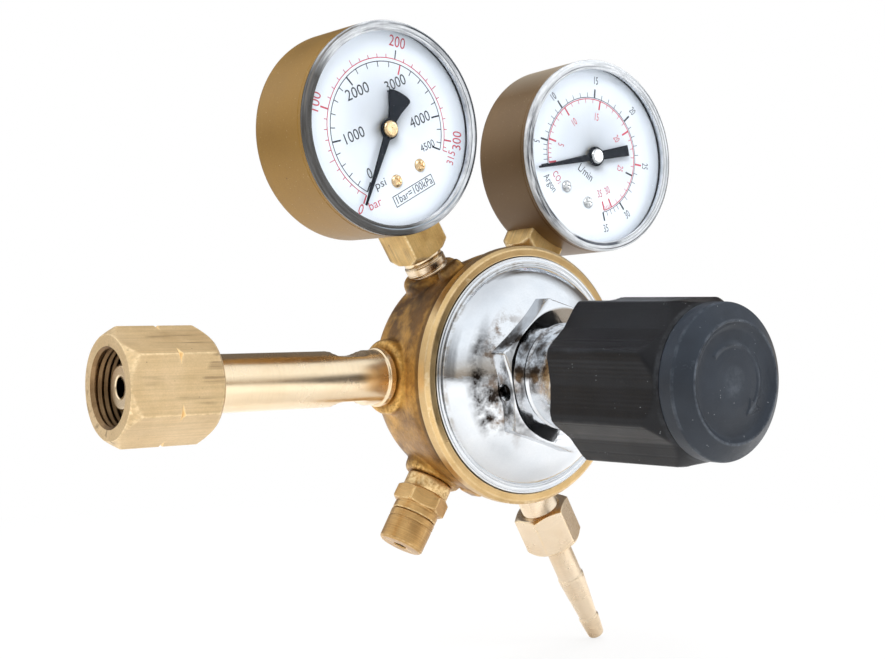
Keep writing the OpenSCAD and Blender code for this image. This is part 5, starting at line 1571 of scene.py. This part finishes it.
studio = {
    "floorHeight": -0.0925,
    "diffuseLevel": 0.62,
    # how bright the reflected room is from straight below to straight above
    "heights": [
        (0.0, (0.95, 0.93, 0.90)), (0.14, (1.16, 1.13, 1.08)), (0.30, (1.26, 1.25, 1.22)),
        (0.38, (0.88, 0.85, 0.80)), (0.455, (0.62, 0.55, 0.46)),
        (0.50, (0.42, 0.34, 0.26)), (0.54, (0.66, 0.60, 0.52)), (0.62, (0.96, 0.97, 0.98)),
        (0.71, (1.24, 1.27, 1.30)), (0.86, (1.18, 1.22, 1.26)), (1.0, (0.9, 0.92, 0.95)),
    ],
    # darker parts of the room: direction and half width in degrees, height range, edge sharpness, tone, share
    "panels": [
        (46.0, 66.0, 0.04, 1.10, 2.6, (0.085, 0.060, 0.040), 0.92),
        (-168.0, 20.0, -0.9, 0.75, 1.8, (0.05, 0.05, 0.055), 0.65),
        (-104.0, 9.0, -0.35, 0.75, 1.6, (0.08, 0.08, 0.085), 0.45),
    ],
}
viewFrom = {
    "position": (-0.163556, -0.350175, 0.017195),
    "right": (0.788816, -0.614544, -0.010274),
    "up": (0.012314, -0.000911, 0.999924),
    "forward": (0.614506, 0.788882, -0.006849),
    "lens": 57.496,
}


def studioWorld():
    world = bpy.data.worlds.new("studio")
    world.use_nodes = True
    tree = world.node_tree
    tree.nodes.clear()
    rays = wire(tree, "ShaderNodeLightPath")
    seen = maths(tree, "MAXIMUM", rays.outputs["Is Camera Ray"], rays.outputs["Is Transmission Ray"])
    direction = wire(tree, "ShaderNodeTexCoord").outputs["Generated"]
    parts = wire(tree, "ShaderNodeSeparateXYZ", {0: direction})
    height = times(tree, plus(tree, parts.outputs[2], 1.0), 0.5)
    level = ramp(tree, height, studio["heights"])
    around = maths(tree, "ARCTAN2", parts.outputs[1], parts.outputs[0])
    for centreDeg, halfDeg, low, high, sharpness, tone, share in studio["panels"]:
        side = turnWindow(tree, around, centreDeg, halfDeg, sharpness)
        rise = window(tree, parts.outputs[2], (low + high) / 2, (high - low) / 2, sharpness)
        level = blend(tree, times(tree, times(tree, side, rise), share), level, tone)
    glossy = wire(tree, "ShaderNodeBackground", {"Color": level, "Strength": 1.0})
    soft = wire(tree, "ShaderNodeBackground", {"Color": (1.0, 0.995, 0.985, 1.0),
            "Strength": studio["diffuseLevel"]})
    white = wire(tree, "ShaderNodeBackground", {"Color": (1.0, 1.0, 1.0, 1.0), "Strength": 1.0})
    first = wire(tree, "ShaderNodeMixShader", {0: rays.outputs["Is Glossy Ray"], 1: soft.outputs[0],
            2: glossy.outputs[0]})
    second = wire(tree, "ShaderNodeMixShader", {0: seen, 1: first.outputs[0], 2: white.outputs[0]})
    wire(tree, "ShaderNodeOutputWorld", {"Surface": second.outputs[0]})
    bpy.context.scene.world = world


def studioFloor():
    mesh = bpy.data.meshes.new("floor")
    size = 3.0
    mesh.from_pydata([(-size, -size, 0), (size, -size, 0), (size, size, 0), (-size, size, 0)], [],
        [(0, 1, 2, 3)])
    floor = bpy.data.objects.new("floor", mesh)
    bpy.context.scene.collection.objects.link(floor)
    floor.location = (0.1, 0, studio["floorHeight"])
    finish, tree, surface = newTree("pale floor")
    where = place3(tree)
    tree.links.new(greyRamp(tree, noise(tree, where, 3.0, 2.0, 0.5), 0.3, 0.7, 0.86, 0.88),
        surface.inputs["Base Color"])
    surface.inputs["Roughness"].default_value = 0.9
    surface.inputs["Specular IOR Level"].default_value = 0.1
    rays = wire(tree, "ShaderNodeLightPath")
    seen = maths(tree, "MAXIMUM", rays.outputs["Is Camera Ray"], rays.outputs["Is Transmission Ray"])
    gap = wire(tree, "ShaderNodeVectorMath", {0: where}, operation="LENGTH").outputs["Value"]
    far = greyRamp(tree, gap, 0.12, 0.42, 0.80, 1.0)
    glow = wire(tree, "ShaderNodeEmission", {"Color": (1.0, 1.0, 1.0, 1.0), "Strength": 1.0})
    shade = wire(tree, "ShaderNodeMixShader", {0: times(tree, seen, far), 1: surface.outputs[0],
            2: glow.outputs[0]})
    tree.links.new(shade.outputs[0], tree.nodes["Material Output"].inputs["Surface"])
    mesh.materials.append(finish)
    return floor


def softLamp(name, place, target, size, power, tint=(1.0, 1.0, 1.0)):
    lamp = bpy.data.lights.new(name, "AREA")
    lamp.shape = "RECTANGLE"
    lamp.size, lamp.size_y = size
    lamp.energy = power
    lamp.color = tint
    holder = bpy.data.objects.new(name, lamp)
    bpy.context.scene.collection.objects.link(holder)
    holder.location = place
    holder.visible_glossy = False
    holder.rotation_euler = (Vector(target) - Vector(place)).to_track_quat("-Z", "Y").to_euler()
    return holder


def studioCamera():
    data = bpy.data.cameras.new("camera")
    data.sensor_width = 36.0
    data.lens = viewFrom["lens"]
    data.clip_start = 0.01
    data.clip_end = 20.0
    holder = bpy.data.objects.new("camera", data)
    bpy.context.scene.collection.objects.link(holder)
    back = [-v for v in viewFrom["forward"]]
    holder.matrix_world = frameFrom(viewFrom["position"], viewFrom["right"], viewFrom["up"], back)
    bpy.context.scene.camera = holder


studioWorld()
studioFloor()
softLamp("key lamp", (-0.45, -0.55, 0.75), (0.1, -0.02, 0.0), (0.6, 0.45), 7.5)
softLamp("fill lamp", (0.75, -0.5, 0.25), (0.12, -0.02, 0.0), (0.4, 0.6), 3.0)
softLamp("top lamp", (0.15, 0.1, 0.9), (0.12, 0.0, 0.0), (0.7, 0.5), 5.0)
studioCamera()
bpy.context.scene.view_settings.view_transform = "Standard"
print("studio ready")
